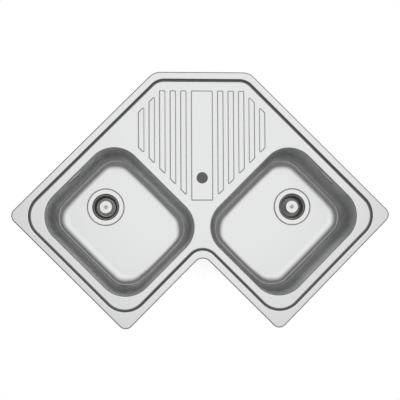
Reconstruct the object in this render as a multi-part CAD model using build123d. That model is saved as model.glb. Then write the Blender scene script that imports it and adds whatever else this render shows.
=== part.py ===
from build123d import *
import os
from math import atan, cos, degrees, radians, sin, sqrt, tan

# Corner kitchen sink of pressed stainless steel: two bowls, one in each arm, and a fluted drainer
# between them with the tap hole. Millimetres and degrees.
# Frame: origin at the centre of the tap hole, +Y towards the corner of the room, +X to the right
# of a person at the sink, +Z up. z = 0 is the flat deck.
# Arm frame: U runs along a wall away from the room's corner, V runs from that wall into the room.
# The left arm is modelled, and the right arm's pieces are its mirror images.

# ---------------------------------------------------------------- sheet and outline
SHEET = 1.0  # stainless sheet
EASED_EDGE = 0.5  # small roundings
WALL_LENGTH = 830.0  # along each wall, from the sharp room corner
ARM_DEPTH = 500.0  # from the wall to the front of the rim
CORNER_CUT = 294.0  # width of the straight cut across the room's corner
TAP_FROM_CORNER = 472.6  # room's corner to the tap hole
END_RADIUS = 25.0  # outer corners at the ends of the arms
CUT_RADIUS = 51.0  # blunt corners beside the cut
NOTCH_RADIUS = 29.0  # inward corner between the arms

# ---------------------------------------------------------------- rim
RIM_RISE = 7.0  # top of the rim above the deck
RIM_STAND = 5.0  # top of the rim above the worktop
RIM_EDGE_RADIUS = 3.0  # rolled outer edge
STEP_WALL_INSET = 26.5  # middle of the step from the wall edges
STEP_END_INSET = 25.0  # from the ends of the arms
STEP_FRONT_INSET = 27.5  # from the front edges
STEP_CUT_INSET = 26.5  # from the cut
STEP_RUN = 7.0  # width of the sloping step
STEP_END_RADIUS = 70.0
STEP_CUT_RADIUS = 50.0
STEP_NOTCH_RADIUS = 52.0
STEP_BEND = 3.0  # bend radius on the face of the sheet, top and foot of the step
SEAL_WIDTH = 9.0
SEAL_GAP = 0.5  # seal to the inside of the rolled edge

# ---------------------------------------------------------------- drainer
FLUTE_RISE = 1.5
FLUTE_WIDTH = 18.3
FLUTE_PITCH = 32.3
FLUTE_COUNT = 5  # on each side of the panel
FLUTE_RADIUS = 3.0
FLUTE_BEND = 1.4
FLUTE_SLOPE = 45.0  # pressed sides from the vertical
PANEL_WIDTH = 66.0
PANEL_GAP = 14.7  # panel to the first flute
PANEL_BACK = 268.6  # tap hole to the panel's back edge
PANEL_FRONT = 69.1  # tap hole to the panel's front edge
FLUTE_WALL_LINE = 54.0  # V where the outer flutes start
FLUTE_BOWL_GAP = 22.5  # flutes' slanted front ends to the bowl's lip
TAP_HOLE = 35.0
STIFFENER_THICK = 2.0
STIFFENER_LENGTH = 96.0
STIFFENER_GAP = 3.0  # plate to the panel's pressed sides

# ---------------------------------------------------------------- bowls
BOWL_LENGTH = 343.0  # along U, at the deck
BOWL_DEPTH = 150.0
BOWL_END_GAP = 46.0  # bowl's lip to the end of the arm
BOWL_WALL_GAP = 49.0  # bowl's lip to the wall
BOWL_FRONT_GAP = 47.0  # bowl's lip to the front of the rim
BOWL_CORNER = 86.0
BOWL_DRAFT = 3.0
BOWL_FOOT_RADIUS = 42.0
LIP_RADIUS = 5.0
LIP_FLAT = 1.0  # flat edge of the bowl, outside the lip, that is welded to the deck
PAD_THICK = 3.0
PAD_END_GAP = 51.5  # bowl's mouth to the pad's edge, along U
PAD_SIDE_GAP = 51.0  # and along V
PAD_CORNER = 40.0
PAD_DRAIN_GAP = 4.0

# ---------------------------------------------------------------- waste
DRAIN_LIP_GAP = 124.0  # bowl's edge at the wall to the drain's axis
DRAIN_RECESS = 3.0
DRAIN_HOLE = 90.0
RING_DIAMETER = 112.0
RING_THICK = 1.5
RING_GAP = 1.5  # ring to the recess's wall
UPPER_GASKET_THICK = 1.5
LOWER_GASKET_THICK = 3.0
GASKET_GAP = 0.5  # upper gasket to the ring's edge, and both gaskets to the drain's hole
LOWER_GASKET_INSET = 1.0
CUP_BORE = 84.0
CUP_WALL = 1.2
CUP_DEPTH = 42.0
CUP_EDGE = 2.0
CUP_HOLES = 8
CUP_HOLE = 9.5
CUP_HOLE_CIRCLE = 35.0
WASTE_WALL = 3.0
WASTE_BORE = 93.0
WASTE_FLANGE = 108.0
WASTE_FLANGE_THICK = 4.0
WASTE_DEPTH = 43.0  # straight part of the chamber
WASTE_CONE = 12.0
OUTLET_BORE = 40.0
OUTLET_DIAMETER = 47.8
OUTLET_LENGTH = 28.0
HUB_DIAMETER = 16.0
HUB_LENGTH = 10.0
HUB_GAP = 2.0  # hub to the underside of the cup
HUB_WEB = 3.0  # thickness of a web
HUB_WEB_HEIGHT = 7.0
HUB_WEBS = 3
SCREW_DIAMETER = 6.0
SCREW_HEAD = 12.0
SCREW_HEAD_HEIGHT = 3.5
SCREW_DRIVE = 1.6  # slot width
SCREW_DRIVE_DEPTH = 1.2
SCREW_TIP = 0.7  # rounding of a screw's tip
FREE_HOLE = 0.3  # a screw in a plain hole, on the radius
RUNNING_FIT = 0.05  # a shaft that turns, or a thread drawn plain, on the radius

# ---------------------------------------------------------------- basket
BASKET_SHEET = 0.8
BASKET_RIM = 80.0
BASKET_MOUTH = 74.0
BASKET_FLOOR = 62.0
BASKET_TOP_DROP = 5.5  # basket's rim below the bowl's floor
WALL_HOLE = 3.6
WALL_HOLE_ROWS = 3
WALL_HOLE_PITCH = 6.5
WALL_HOLES = 24
FLOOR_HOLE = 4.2
FLOOR_HOLE_CIRCLE = 53.0
FLOOR_HOLES = 20
STOPPER_DIAMETER = 54.0
STOPPER_LIP = 2.5
STOPPER_HEIGHT = 7.5
STOPPER_ROOF = 2.0
REST_GAP = 0.2  # between pieces that rest on each other and move
POST_DIAMETER = 6.0
POST_COLLAR = 16.0
POST_COLLAR_THICK = 1.2
POST_HEAD = 10.0
POST_HEAD_THICK = 1.3
KNOB_DIAMETER = 42.0
KNOB_THICK = 5.0
KNOB_EDGE = 2.0
KNOB_STEM = 16.0
KNOB_TOP_DROP = 2.0
KNOB_DIMPLE = 13.0
KNOB_DIMPLE_DEPTH = 2.5

# ---------------------------------------------------------------- overflow
OVERFLOW_DROP = 30.0  # deck to the middle of the overflow, down the wall
OVERFLOW_LENGTH = 54.0
OVERFLOW_HEIGHT = 14.0
OVERFLOW_RADIUS = 4.0
GRILLE_MARGIN = 3.0
GRILLE_THICK = 1.5
GRILLE_SLOT = 3.2
GRILLE_SLOT_PITCH = 5.6
GRILLE_SLOTS = 4  # each side of the screw
OVERFLOW_GASKET_THICK = 2.0
GASKET_WALL = 3.0
ELBOW_MARGIN = 4.0
ELBOW_WALL = 2.0
ELBOW_DEPTH = 27.0
BOSS_DIAMETER = 10.0
OVERFLOW_SCREW = 4.0
OVERFLOW_SCREW_HEAD = 8.0
OVERFLOW_SCREW_HEAD_HEIGHT = 2.0
OVERFLOW_SCREW_LENGTH = 22.0
HOSE_BORE = 20.0
HOSE_ROOT = 23.0
HOSE_CREST = 26.0
HOSE_PITCH = 4.2
HOSE_ROOT_END = 0.25  # where a rib rises, levels and falls, as shares of the pitch
HOSE_CREST_START = 0.45
HOSE_CREST_END = 0.8
HOSE_BEND = 45.0
HOSE_END = 26.0  # straight ends
SPIGOT_LENGTH = 20.0
SPIGOT_WALL = 2.0
SPIGOT_FIT = 0.1
COLLAR_LENGTH = 6.0
INLET_DROP = 21.0  # top of the waste body to the middle of its side inlet

# ---------------------------------------------------------------- fixing clips
CLIP_AXIS = 29.0  # outer edge of the rim to the screw
CLIP_WIDTH = 16.0
CLIP_STRIP = 1.5
CLIP_WEB_INSET = 36.0  # outer edge to the bracket's upright
CLIP_TAB = 9.0
CLIP_ARM_DROP = 11.5  # deck's underside to the bracket's arm
CLIP_BOSS = 11.0
CLIP_BOSS_LENGTH = 5.0
CLIP_WEB_LENGTH = 50.0
CLAW_WIDTH = 14.0
CLAW_THICK = 2.0
CLAW_TIP_INSET = 3.5
CLAW_TOOTH = 5.0
CLAW_TOOTH_THICK = 2.0
CLAW_DROP = 48.0  # deck to the underside of the claw when it is let down
CLAMP_SCREW = 6.0
CLAMP_HEAD = 11.0
CLAMP_HEAD_HEIGHT = 4.0
CLAMP_ENGAGED = 2.0  # screw's tip inside the bracket's boss when let down
WALL_CLIP_INNER = 340.0  # U of the clips along a wall
WALL_CLIP_OUTER = 742.0
FRONT_CLIP = 640.0  # U of the clip at the front of an arm

# ---------------------------------------------------------------- levels and places
SEAT_Z = RIM_RISE - RIM_STAND
CORNER_Y = TAP_FROM_CORNER
CUT_Y = CORNER_Y - CORNER_CUT / 2
LIP_EDGE = LIP_RADIUS + LIP_FLAT
BOWL_WIDTH = ARM_DEPTH - BOWL_WALL_GAP - BOWL_FRONT_GAP - 2 * LIP_EDGE  # along V, at the deck
PAD_LENGTH = BOWL_LENGTH - 2 * PAD_END_GAP
PAD_WIDTH = BOWL_WIDTH - 2 * PAD_SIDE_GAP
BOWL_U = WALL_LENGTH - BOWL_END_GAP - LIP_EDGE - BOWL_LENGTH / 2
BOWL_V = BOWL_WALL_GAP + LIP_EDGE + BOWL_WIDTH / 2
DRAIN_OFFSET = BOWL_WIDTH / 2 - DRAIN_LIP_GAP  # bowl's middle to the drain, towards the wall
DRAIN_V = BOWL_V - DRAIN_OFFSET
FLOOR_Z = -BOWL_DEPTH
RECESS_Z = FLOOR_Z - DRAIN_RECESS
RECESS_RADIUS = RING_DIAMETER / 2 + RING_GAP
RING_Z = RECESS_Z + UPPER_GASKET_THICK
UNDER_Z = RECESS_Z - SHEET
CUP_FLOOR_Z = FLOOR_Z - CUP_DEPTH
CUP_UNDER_Z = CUP_FLOOR_Z - CUP_WALL
WASTE_TOP_Z = UNDER_Z - LOWER_GASKET_THICK
WASTE_FOOT_Z = WASTE_TOP_Z - WASTE_DEPTH
OUTLET_TOP_Z = WASTE_FOOT_Z - WASTE_CONE
OUTLET_END_Z = OUTLET_TOP_Z - OUTLET_LENGTH
HUB_TOP_Z = CUP_UNDER_Z - HUB_GAP
INLET_Z = WASTE_TOP_Z - INLET_DROP
STOPPER_Z = CUP_FLOOR_Z + REST_GAP
STOPPER_TOP_Z = STOPPER_Z + STOPPER_HEIGHT
STOPPER_ROOF_Z = STOPPER_TOP_Z - STOPPER_ROOF
BASKET_Z = STOPPER_TOP_Z + REST_GAP
BASKET_TOP_Z = FLOOR_Z - BASKET_TOP_DROP
KNOB_TOP_Z = FLOOR_Z - KNOB_TOP_DROP
DIMPLE_Z = KNOB_TOP_Z - KNOB_DIMPLE_DEPTH

STEP_SLOPE = degrees(atan(STEP_RUN / RIM_RISE))
STIFFENER_Z = FLUTE_RISE - SHEET - STIFFENER_THICK

LEFT_ARM = Location((0, CORNER_Y, 0), (0, 0, -135))
DRAIN = Pos(BOWL_U, DRAIN_V, 0)

# Plane on the bowl's wall at the overflow: x against U, y up the wall, z into the bowl.
OVERFLOW_V = BOWL_V - BOWL_WIDTH / 2 + OVERFLOW_DROP * tan(radians(BOWL_DRAFT))
OVERFLOW_NORMAL = (0, cos(radians(BOWL_DRAFT)), sin(radians(BOWL_DRAFT)))
OVERFLOW = Plane((BOWL_U, OVERFLOW_V, -OVERFLOW_DROP), (-1, 0, 0), OVERFLOW_NORMAL).location
ELBOW_LENGTH = OVERFLOW_LENGTH + 2 * ELBOW_MARGIN
ELBOW_HEIGHT = OVERFLOW_HEIGHT + 2 * ELBOW_MARGIN
ELBOW_RADIUS = OVERFLOW_RADIUS + ELBOW_MARGIN / 2
ELBOW_FACE = SHEET + OVERFLOW_GASKET_THICK  # inside of the bowl's wall to the elbow
SPOUT_V = OVERFLOW_V - ELBOW_FACE - ELBOW_DEPTH / 2
HOSE_TOP_Z = -OVERFLOW_DROP - ELBOW_HEIGHT / 2 - COLLAR_LENGTH
HOSE_DROP = HOSE_TOP_Z - INLET_Z - HOSE_BEND  # straight run down from the elbow
HOSE_END_V = SPOUT_V + HOSE_BEND + HOSE_END
INLET_REACH = DRAIN_V - HOSE_END_V  # drain's axis to the hose's end

CLIP_ARM_Z = -SHEET - CLIP_ARM_DROP - CLIP_STRIP
CLIP_BOSS_Z = CLIP_ARM_Z - CLIP_BOSS_LENGTH
CLAW_Z = -CLAW_DROP


# ---------------------------------------------------------------- helpers
def plan_point(u, v):
    """Point of the left arm, seen from above in the sink's own frame."""
    return ((v - u) / sqrt(2), CORNER_Y - (u + v) / sqrt(2))


def seven_corners(wall, end, front, cut, cut_radius, end_radius, notch_radius):
    """Face of the sink's plan, with each side drawn in by its own inset."""
    cut_u = (CORNER_CUT / 2 + cut) * sqrt(2) - wall
    blunt = plan_point(cut_u, wall)
    outer = plan_point(WALL_LENGTH - end, wall)
    inner = plan_point(WALL_LENGTH - end, ARM_DEPTH - front)
    notch = plan_point(ARM_DEPTH - front, ARM_DEPTH - front)
    right = [(-x, y) for x, y in (inner, outer, blunt)]
    corners = [blunt, outer, inner, notch, *right]
    radii = [cut_radius, end_radius, end_radius, notch_radius, end_radius, end_radius, cut_radius]
    return make_face(FilletPolyline(*corners, radius=radii, close=True))


def rim_face(inset):
    """Plan of the rim's outer edge, drawn in all round."""
    sides = [inset] * 4
    return seven_corners(*sides, CUT_RADIUS - inset, END_RADIUS - inset, NOTCH_RADIUS + inset)


def step_face(inset):
    """Plan of the step, drawn in from the middle of its slope."""
    return seven_corners(
        STEP_WALL_INSET + inset,
        STEP_END_INSET + inset,
        STEP_FRONT_INSET + inset,
        STEP_CUT_INSET + inset,
        STEP_CUT_RADIUS - inset,
        STEP_END_RADIUS - inset,
        STEP_NOTCH_RADIUS + inset,
    )


def lowest_edges(part):
    return part.edges().group_by(Axis.Z)[0]


def highest_edges(part):
    return part.edges().group_by(Axis.Z)[-1]


def tube(outer, inner, low, high):
    """Upright ring from low to high."""
    ring = Circle(outer / 2) - Circle(inner / 2)
    return Pos(0, 0, low) * extrude(ring, high - low)


def rod(diameter, low, high):
    return Pos(0, 0, low) * extrude(Circle(diameter / 2), high - low)


def ring_of(shape, count, radius):
    """Copies of a shape round the Z axis."""
    return [Rot(0, 0, 360 * i / count) * Pos(radius, 0, 0) * shape for i in range(count)]


def mirrored(part):
    return mirror(part, about=Plane.YZ)


# ---------------------------------------------------------------- deck
def flute_face(place, inset):
    """Plan of one flute: slanted at the front, and also at the back where it meets the wall line."""
    wall_line = CORNER_Y - FLUTE_WALL_LINE * sqrt(2)
    lip_u = BOWL_U - BOWL_LENGTH / 2 - LIP_EDGE
    front_line = CORNER_Y - (lip_u - FLUTE_BOWL_GAP) * sqrt(2)
    low_x = place - FLUTE_WIDTH / 2
    high_x = place + FLUTE_WIDTH / 2
    square = wall_line - low_x > PANEL_BACK
    back = [PANEL_BACK, PANEL_BACK] if square else [wall_line - low_x, wall_line - high_x]
    corners = [
        (low_x, front_line + low_x),
        (high_x, front_line + high_x),
        (high_x, back[1]),
        (low_x, back[0]),
    ]
    face = make_face(FilletPolyline(*corners, radius=FLUTE_RADIUS, close=True))
    return offset(face, -inset) if inset else face


def panel_face(inset):
    length = PANEL_BACK + PANEL_FRONT
    middle = (PANEL_BACK - PANEL_FRONT) / 2
    return Pos(0, middle) * RectangleRounded(
        PANEL_WIDTH - 2 * inset, length - 2 * inset, FLUTE_RADIUS - inset
    )


def under_shift(slope):
    """How far a sloping side moves on the underside of the sheet, for a slope from the vertical."""
    return SHEET * (1 - sin(radians(slope))) / cos(radians(slope))


def pressed(face, low, bend):
    """A pressed rise with sloping sides and a rounded top edge."""
    block = Pos(0, 0, low) * extrude(face, FLUTE_RISE, taper=FLUTE_SLOPE)
    return fillet(highest_edges(block), bend)


def raised_forms(low, inset, bend):
    """The panel and every flute, on one side of the sheet."""
    first = PANEL_WIDTH / 2 + PANEL_GAP + FLUTE_WIDTH / 2
    flutes = [
        pressed(flute_face(first + i * FLUTE_PITCH, inset), low, bend) for i in range(FLUTE_COUNT)
    ]
    return [pressed(panel_face(inset), low, bend), *flutes, *[mirrored(f) for f in flutes]]


def step_block(low, inset, bend):
    """What the step encloses: narrow at its foot and wider at its top."""
    block = Pos(0, 0, low) * extrude(step_face(inset), RIM_RISE, taper=-STEP_SLOPE)
    return fillet(lowest_edges(block), bend)


def bend_inner_edge(part, radius):
    """Rounds the top edge of the step."""
    top = part.faces().sort_by(Axis.Z)[-1]
    return part.fillet(radius, top.inner_wires()[0].edges())


def bowl_lip_face(inset):
    """Plan of the bowl's welded edge, in the bowl's own middle."""
    return RectangleRounded(
        BOWL_LENGTH + 2 * (LIP_EDGE - inset),
        BOWL_WIDTH + 2 * (LIP_EDGE - inset),
        BOWL_CORNER + LIP_EDGE - inset,
    )


def deck_sheet():
    """The pressed deck: rolled outer edge, rim, step, flutes and panel, with its three holes."""
    rim = Pos(0, 0, SEAT_Z) * extrude(rim_face(0), RIM_STAND)
    rim = fillet(highest_edges(rim), RIM_EDGE_RADIUS)
    floor = Pos(0, 0, -SHEET) * extrude(step_face(-STEP_RUN / 2), SEAT_Z + SHEET)
    face_side = bend_inner_edge(
        rim + floor - step_block(0, STEP_RUN / 2, STEP_BEND), STEP_BEND
    )
    under = Pos(0, 0, -SHEET) * extrude(rim_face(SHEET), RIM_RISE)
    under = fillet(highest_edges(under), RIM_EDGE_RADIUS - SHEET)
    step_foot = STEP_RUN / 2 - under_shift(STEP_SLOPE)
    under = bend_inner_edge(
        under - step_block(-SHEET, step_foot, STEP_BEND + SHEET), STEP_BEND - SHEET
    )
    hollows = raised_forms(-SHEET, under_shift(FLUTE_SLOPE), FLUTE_BEND - SHEET)
    sheet = face_side + raised_forms(0, 0, FLUTE_BEND) - [under, *hollows]
    left_hole = LEFT_ARM * Pos(BOWL_U, BOWL_V, -SHEET) * extrude(bowl_lip_face(0), SHEET)
    tap_hole = rod(TAP_HOLE, -SHEET, FLUTE_RISE)
    return sheet - [left_hole, mirrored(left_hole), tap_hole]


def rim_seal():
    """Foam strip between the rim and the worktop."""
    inset = RIM_EDGE_RADIUS + SEAL_GAP
    strip = rim_face(inset) - rim_face(inset + SEAL_WIDTH)
    return Pos(0, 0, SEAT_Z) * extrude(strip, RIM_STAND - SHEET)


def tap_stiffener():
    """Plate inside the pressed panel, round the tap hole."""
    width = PANEL_WIDTH - 2 * (FLUTE_RISE + STIFFENER_GAP)
    plate = RectangleRounded(width, STIFFENER_LENGTH, FLUTE_RADIUS) - Circle(TAP_HOLE / 2)
    return Pos(0, 0, STIFFENER_Z) * extrude(plate, STIFFENER_THICK)


# ---------------------------------------------------------------- bowl
def bowl_block(grow):
    """The space inside a bowl, or with grow the outside of its sheet."""
    side = grow / cos(radians(BOWL_DRAFT))
    plan = RectangleRounded(BOWL_LENGTH + 2 * side, BOWL_WIDTH + 2 * side, BOWL_CORNER + side)
    block = extrude(plan, -(BOWL_DEPTH + grow), taper=BOWL_DRAFT)
    return fillet(lowest_edges(block), BOWL_FOOT_RADIUS + grow)


def recess_block(grow):
    """The sunk seat of the waste ring, with sides at 45 degrees."""
    low = RECESS_RADIUS + grow * (sqrt(2) - 1)
    seat = Cone(low, low + DRAIN_RECESS, DRAIN_RECESS, align=(Align.CENTER, Align.CENTER, Align.MIN))
    return Pos(0, -DRAIN_OFFSET, RECESS_Z - grow) * seat


def bowl():
    """Drawn bowl with a rounded lip, a sunk drain seat and the overflow's hole."""
    flange = Pos(0, 0, -SHEET) * extrude(bowl_lip_face(0), SHEET)
    shell = flange + bowl_block(SHEET) + recess_block(SHEET)
    under_lip = shell.faces().filter_by(Axis.Z).sort_by(lambda f: abs(f.center().Z + SHEET))[0]
    shell = shell.fillet(LIP_RADIUS - SHEET, under_lip.inner_wires()[0].edges())
    shell = shell - [bowl_block(0), recess_block(0)]
    top = shell.faces().sort_by(Axis.Z)[-1]
    shell = shell.fillet(LIP_RADIUS, top.inner_wires()[0].edges())
    shell -= Pos(0, -DRAIN_OFFSET, 0) * rod(DRAIN_HOLE, UNDER_Z, FLOOR_Z)
    shell = Pos(BOWL_U, BOWL_V, 0) * shell
    return shell - wall_plate(OVERFLOW_LENGTH, OVERFLOW_HEIGHT, OVERFLOW_RADIUS, -2 * SHEET, SHEET)


def sound_pad():
    """Damping sheet stuck under the bowl, cut out round the drain."""
    pad = RectangleRounded(PAD_LENGTH, PAD_WIDTH, PAD_CORNER)
    hole = Pos(0, -DRAIN_OFFSET) * Circle(RECESS_RADIUS + DRAIN_RECESS + SHEET + PAD_DRAIN_GAP)
    return Pos(BOWL_U, BOWL_V, FLOOR_Z - SHEET - PAD_THICK) * extrude(pad - hole, PAD_THICK)


# ---------------------------------------------------------------- waste, in the drain's own axis
def turned(*corners):
    """Solid of revolution. Each corner of its half section is radius, height and rounding."""
    points = [corner[:2] for corner in corners]
    rounding = [corner[2] if len(corner) > 2 else 0 for corner in corners]
    section = make_face(Plane.XZ * FilletPolyline(*points, radius=rounding, close=True))
    return revolve(section, Axis.Z)


def slot_cut(low, depth, width, length):
    """Driver slot in a screw's head, open upwards."""
    return Pos(0, 0, low) * extrude(Rectangle(length, width), depth)


def strainer_cup():
    """Stainless ring, cup and perforated cup floor, pressed in one piece."""
    bore = CUP_BORE / 2
    ring_top = RING_Z + RING_THICK
    cup = turned(
        (0, CUP_UNDER_Z),
        (bore + CUP_WALL, CUP_UNDER_Z, CUP_EDGE + CUP_WALL),
        (bore + CUP_WALL, RING_Z),
        (RING_DIAMETER / 2, RING_Z),
        (RING_DIAMETER / 2, ring_top, EASED_EDGE),
        (bore, ring_top, CUP_EDGE),
        (bore, CUP_FLOOR_Z, CUP_EDGE),
        (0, CUP_FLOOR_Z),
    )
    hole = rod(CUP_HOLE, CUP_UNDER_Z, CUP_FLOOR_Z)
    screw_hole = rod(SCREW_DIAMETER + 2 * FREE_HOLE, CUP_UNDER_Z, CUP_FLOOR_Z)
    return cup - [screw_hole, *ring_of(hole, CUP_HOLES, CUP_HOLE_CIRCLE / 2)]


def upper_gasket():
    return tube(RING_DIAMETER - 2 * GASKET_GAP, DRAIN_HOLE + 2 * GASKET_GAP, RECESS_Z, RING_Z)


def lower_gasket():
    outer = WASTE_FLANGE - 2 * LOWER_GASKET_INSET
    return tube(outer, DRAIN_HOLE + 2 * GASKET_GAP, WASTE_TOP_Z, UNDER_Z)


def inlet_plane():
    """On the drain's axis at the side inlet, pointing to the wall."""
    return Plane((0, 0, INLET_Z), (1, 0, 0), (0, -1, 0)).location


def waste_body():
    """Moulded chamber under the bowl, with a threaded outlet, a hub on webs and a side inlet."""
    chamber = WASTE_BORE / 2
    skin = chamber + WASTE_WALL
    cone_drop = WASTE_WALL / 2
    outer = [
        (WASTE_FLANGE / 2, WASTE_TOP_Z),
        (WASTE_FLANGE / 2, WASTE_TOP_Z - WASTE_FLANGE_THICK, EASED_EDGE),
        (skin, WASTE_TOP_Z - WASTE_FLANGE_THICK, EASED_EDGE),
        (skin, WASTE_FOOT_Z - cone_drop, WASTE_WALL),
        (OUTLET_DIAMETER / 2, OUTLET_TOP_Z - cone_drop, WASTE_WALL / 2),
        (OUTLET_DIAMETER / 2, OUTLET_END_Z, EASED_EDGE),
    ]
    inner = [
        (OUTLET_BORE / 2, OUTLET_END_Z),
        (OUTLET_BORE / 2, OUTLET_TOP_Z, WASTE_WALL / 2),
        (chamber, WASTE_FOOT_Z, WASTE_WALL / 2),
        (chamber, WASTE_TOP_Z),
    ]
    filled = turned((0, WASTE_TOP_Z), *outer, (0, OUTLET_END_Z))
    body = turned(*outer, *inner)
    hub_foot = HUB_TOP_Z - HUB_LENGTH
    web = Pos(chamber / 2, 0, hub_foot) * extrude(Rectangle(chamber, HUB_WEB), HUB_WEB_HEIGHT)
    webs = [filled & Rot(0, 0, 90 + 360 * i / HUB_WEBS) * web for i in range(HUB_WEBS)]
    body = body + webs + rod(HUB_DIAMETER, hub_foot, HUB_TOP_Z)
    body -= rod(SCREW_DIAMETER + 2 * RUNNING_FIT, hub_foot, HUB_TOP_Z)
    spigot = HOSE_BORE - 2 * SPIGOT_FIT
    inlet = rod(HOSE_CREST, chamber + WASTE_WALL / 2, INLET_REACH)
    inlet += rod(spigot, INLET_REACH, INLET_REACH + SPIGOT_LENGTH)
    passage = rod(spigot - 2 * SPIGOT_WALL, chamber - WASTE_WALL, INLET_REACH + SPIGOT_LENGTH)
    return body + inlet_plane() * inlet - inlet_plane() * passage


def waste_screw():
    """Slotted screw that draws the waste body and the cup together."""
    top = CUP_FLOOR_Z + SCREW_HEAD_HEIGHT
    tip = HUB_TOP_Z - HUB_LENGTH - SCREW_DIAMETER / 2
    screw = turned(
        (0, tip),
        (SCREW_DIAMETER / 2, tip, SCREW_TIP),
        (SCREW_DIAMETER / 2, CUP_FLOOR_Z),
        (SCREW_HEAD / 2, CUP_FLOOR_Z),
        (SCREW_HEAD / 2, top, SCREW_HEAD_HEIGHT / 2),
        (0, top),
    )
    return screw - slot_cut(top - SCREW_DRIVE_DEPTH, SCREW_DRIVE_DEPTH, SCREW_DRIVE, SCREW_HEAD)


# ---------------------------------------------------------------- basket, in the drain's own axis
def basket():
    """Perforated strainer basket of thin sheet."""
    floor, mouth = BASKET_FLOOR / 2, BASKET_MOUTH / 2
    top = BASKET_TOP_Z
    shell = turned(
        (0, BASKET_Z),
        (floor + BASKET_SHEET, BASKET_Z, 3 * BASKET_SHEET),
        (mouth + BASKET_SHEET, top - BASKET_SHEET, BASKET_SHEET),
        (BASKET_RIM / 2, top - BASKET_SHEET),
        (BASKET_RIM / 2, top, BASKET_SHEET / 2),
        (mouth, top, 2 * BASKET_SHEET),
        (floor, BASKET_Z + BASKET_SHEET, 2 * BASKET_SHEET),
        (0, BASKET_Z + BASKET_SHEET),
    )
    floor_hole = rod(FLOOR_HOLE, BASKET_Z, BASKET_Z + BASKET_SHEET)
    cuts = ring_of(floor_hole, FLOOR_HOLES, FLOOR_HOLE_CIRCLE / 2)
    side_hole = Rot(0, 90, 0) * rod(WALL_HOLE, floor - WALL_HOLE, mouth + WALL_HOLE)
    for row in range(WALL_HOLE_ROWS):
        height = BASKET_Z + WALL_HOLE_PITCH * (row + 1)
        stagger = Rot(0, 0, 180 / WALL_HOLES * (row % 2))
        cuts += ring_of(stagger * Pos(0, 0, height) * side_hole, WALL_HOLES, 0)
    post_hole = rod(POST_DIAMETER + 2 * RUNNING_FIT, BASKET_Z, BASKET_Z + BASKET_SHEET)
    return shell - [post_hole, *cuts]


def basket_knob():
    """Mushroom knob, with a dimple for the post's riveted head."""
    bore = POST_DIAMETER / 2 + RUNNING_FIT
    foot = BASKET_Z + BASKET_SHEET
    return turned(
        (bore, foot),
        (KNOB_STEM / 2, foot),
        (KNOB_STEM / 2, KNOB_TOP_Z - KNOB_THICK, KNOB_EDGE),
        (KNOB_DIAMETER / 2, KNOB_TOP_Z - KNOB_THICK, KNOB_EDGE / 2),
        (KNOB_DIAMETER / 2, KNOB_TOP_Z, KNOB_EDGE),
        (KNOB_DIMPLE / 2, KNOB_TOP_Z, KNOB_EDGE / 2),
        (KNOB_DIMPLE / 2, DIMPLE_Z),
        (bore, DIMPLE_Z),
    )


def basket_post():
    """Pin through the knob and the basket that carries the stopper."""
    head = DIMPLE_Z + REST_GAP
    return turned(
        (0, STOPPER_ROOF_Z - POST_COLLAR_THICK),
        (POST_COLLAR / 2, STOPPER_ROOF_Z - POST_COLLAR_THICK, EASED_EDGE),
        (POST_COLLAR / 2, STOPPER_ROOF_Z),
        (POST_DIAMETER / 2, STOPPER_ROOF_Z),
        (POST_DIAMETER / 2, head),
        (POST_HEAD / 2, head),
        (POST_HEAD / 2, head + POST_HEAD_THICK, POST_HEAD_THICK / 2),
        (0, head + POST_HEAD_THICK),
    )


def stopper():
    """Rubber plug: a hollow disc whose lip closes round the holes in the cup's floor."""
    bore = POST_DIAMETER / 2 + RUNNING_FIT
    rim = STOPPER_DIAMETER / 2
    return turned(
        (bore, STOPPER_ROOF_Z),
        (rim - STOPPER_LIP, STOPPER_ROOF_Z, STOPPER_LIP / 2),
        (rim - STOPPER_LIP, STOPPER_Z),
        (rim, STOPPER_Z, EASED_EDGE),
        (rim, STOPPER_TOP_Z, STOPPER_LIP / 2),
        (bore, STOPPER_TOP_Z),
    )


# ---------------------------------------------------------------- overflow, in the arm's frame
def wall_plate(length, height, radius, low, high):
    """Plate parallel to the bowl's wall, between two distances from its face."""
    return OVERFLOW * Pos(0, 0, low) * extrude(RectangleRounded(length, height, radius), high - low)


def overflow_grille():
    """Slotted cover inside the bowl."""
    length = OVERFLOW_LENGTH + 2 * GRILLE_MARGIN
    height = OVERFLOW_HEIGHT + 2 * GRILLE_MARGIN
    plan = RectangleRounded(length, height, OVERFLOW_RADIUS + GRILLE_MARGIN)
    plate = extrude(plan, GRILLE_THICK)
    plate = fillet(highest_edges(plate), GRILLE_THICK / 2)
    slot = Rot(0, 0, 90) * SlotOverall(OVERFLOW_HEIGHT - GRILLE_MARGIN, GRILLE_SLOT)
    cut = extrude(slot, GRILLE_THICK)
    first = OVERFLOW_SCREW_HEAD / 2 + GRILLE_SLOT
    cuts = [
        Pos(side * (first + i * GRILLE_SLOT_PITCH), 0, 0) * cut
        for i in range(GRILLE_SLOTS)
        for side in (-1, 1)
    ]
    hole = rod(OVERFLOW_SCREW + 2 * FREE_HOLE, 0, GRILLE_THICK)
    return OVERFLOW * (plate - [hole, *cuts])


def overflow_gasket():
    outer = wall_plate(ELBOW_LENGTH, ELBOW_HEIGHT, ELBOW_RADIUS, -ELBOW_FACE, -SHEET)
    open_length = ELBOW_LENGTH - 2 * GASKET_WALL
    open_height = ELBOW_HEIGHT - 2 * GASKET_WALL
    return outer - wall_plate(open_length, open_height, OVERFLOW_RADIUS, -ELBOW_FACE, -SHEET)


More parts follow.
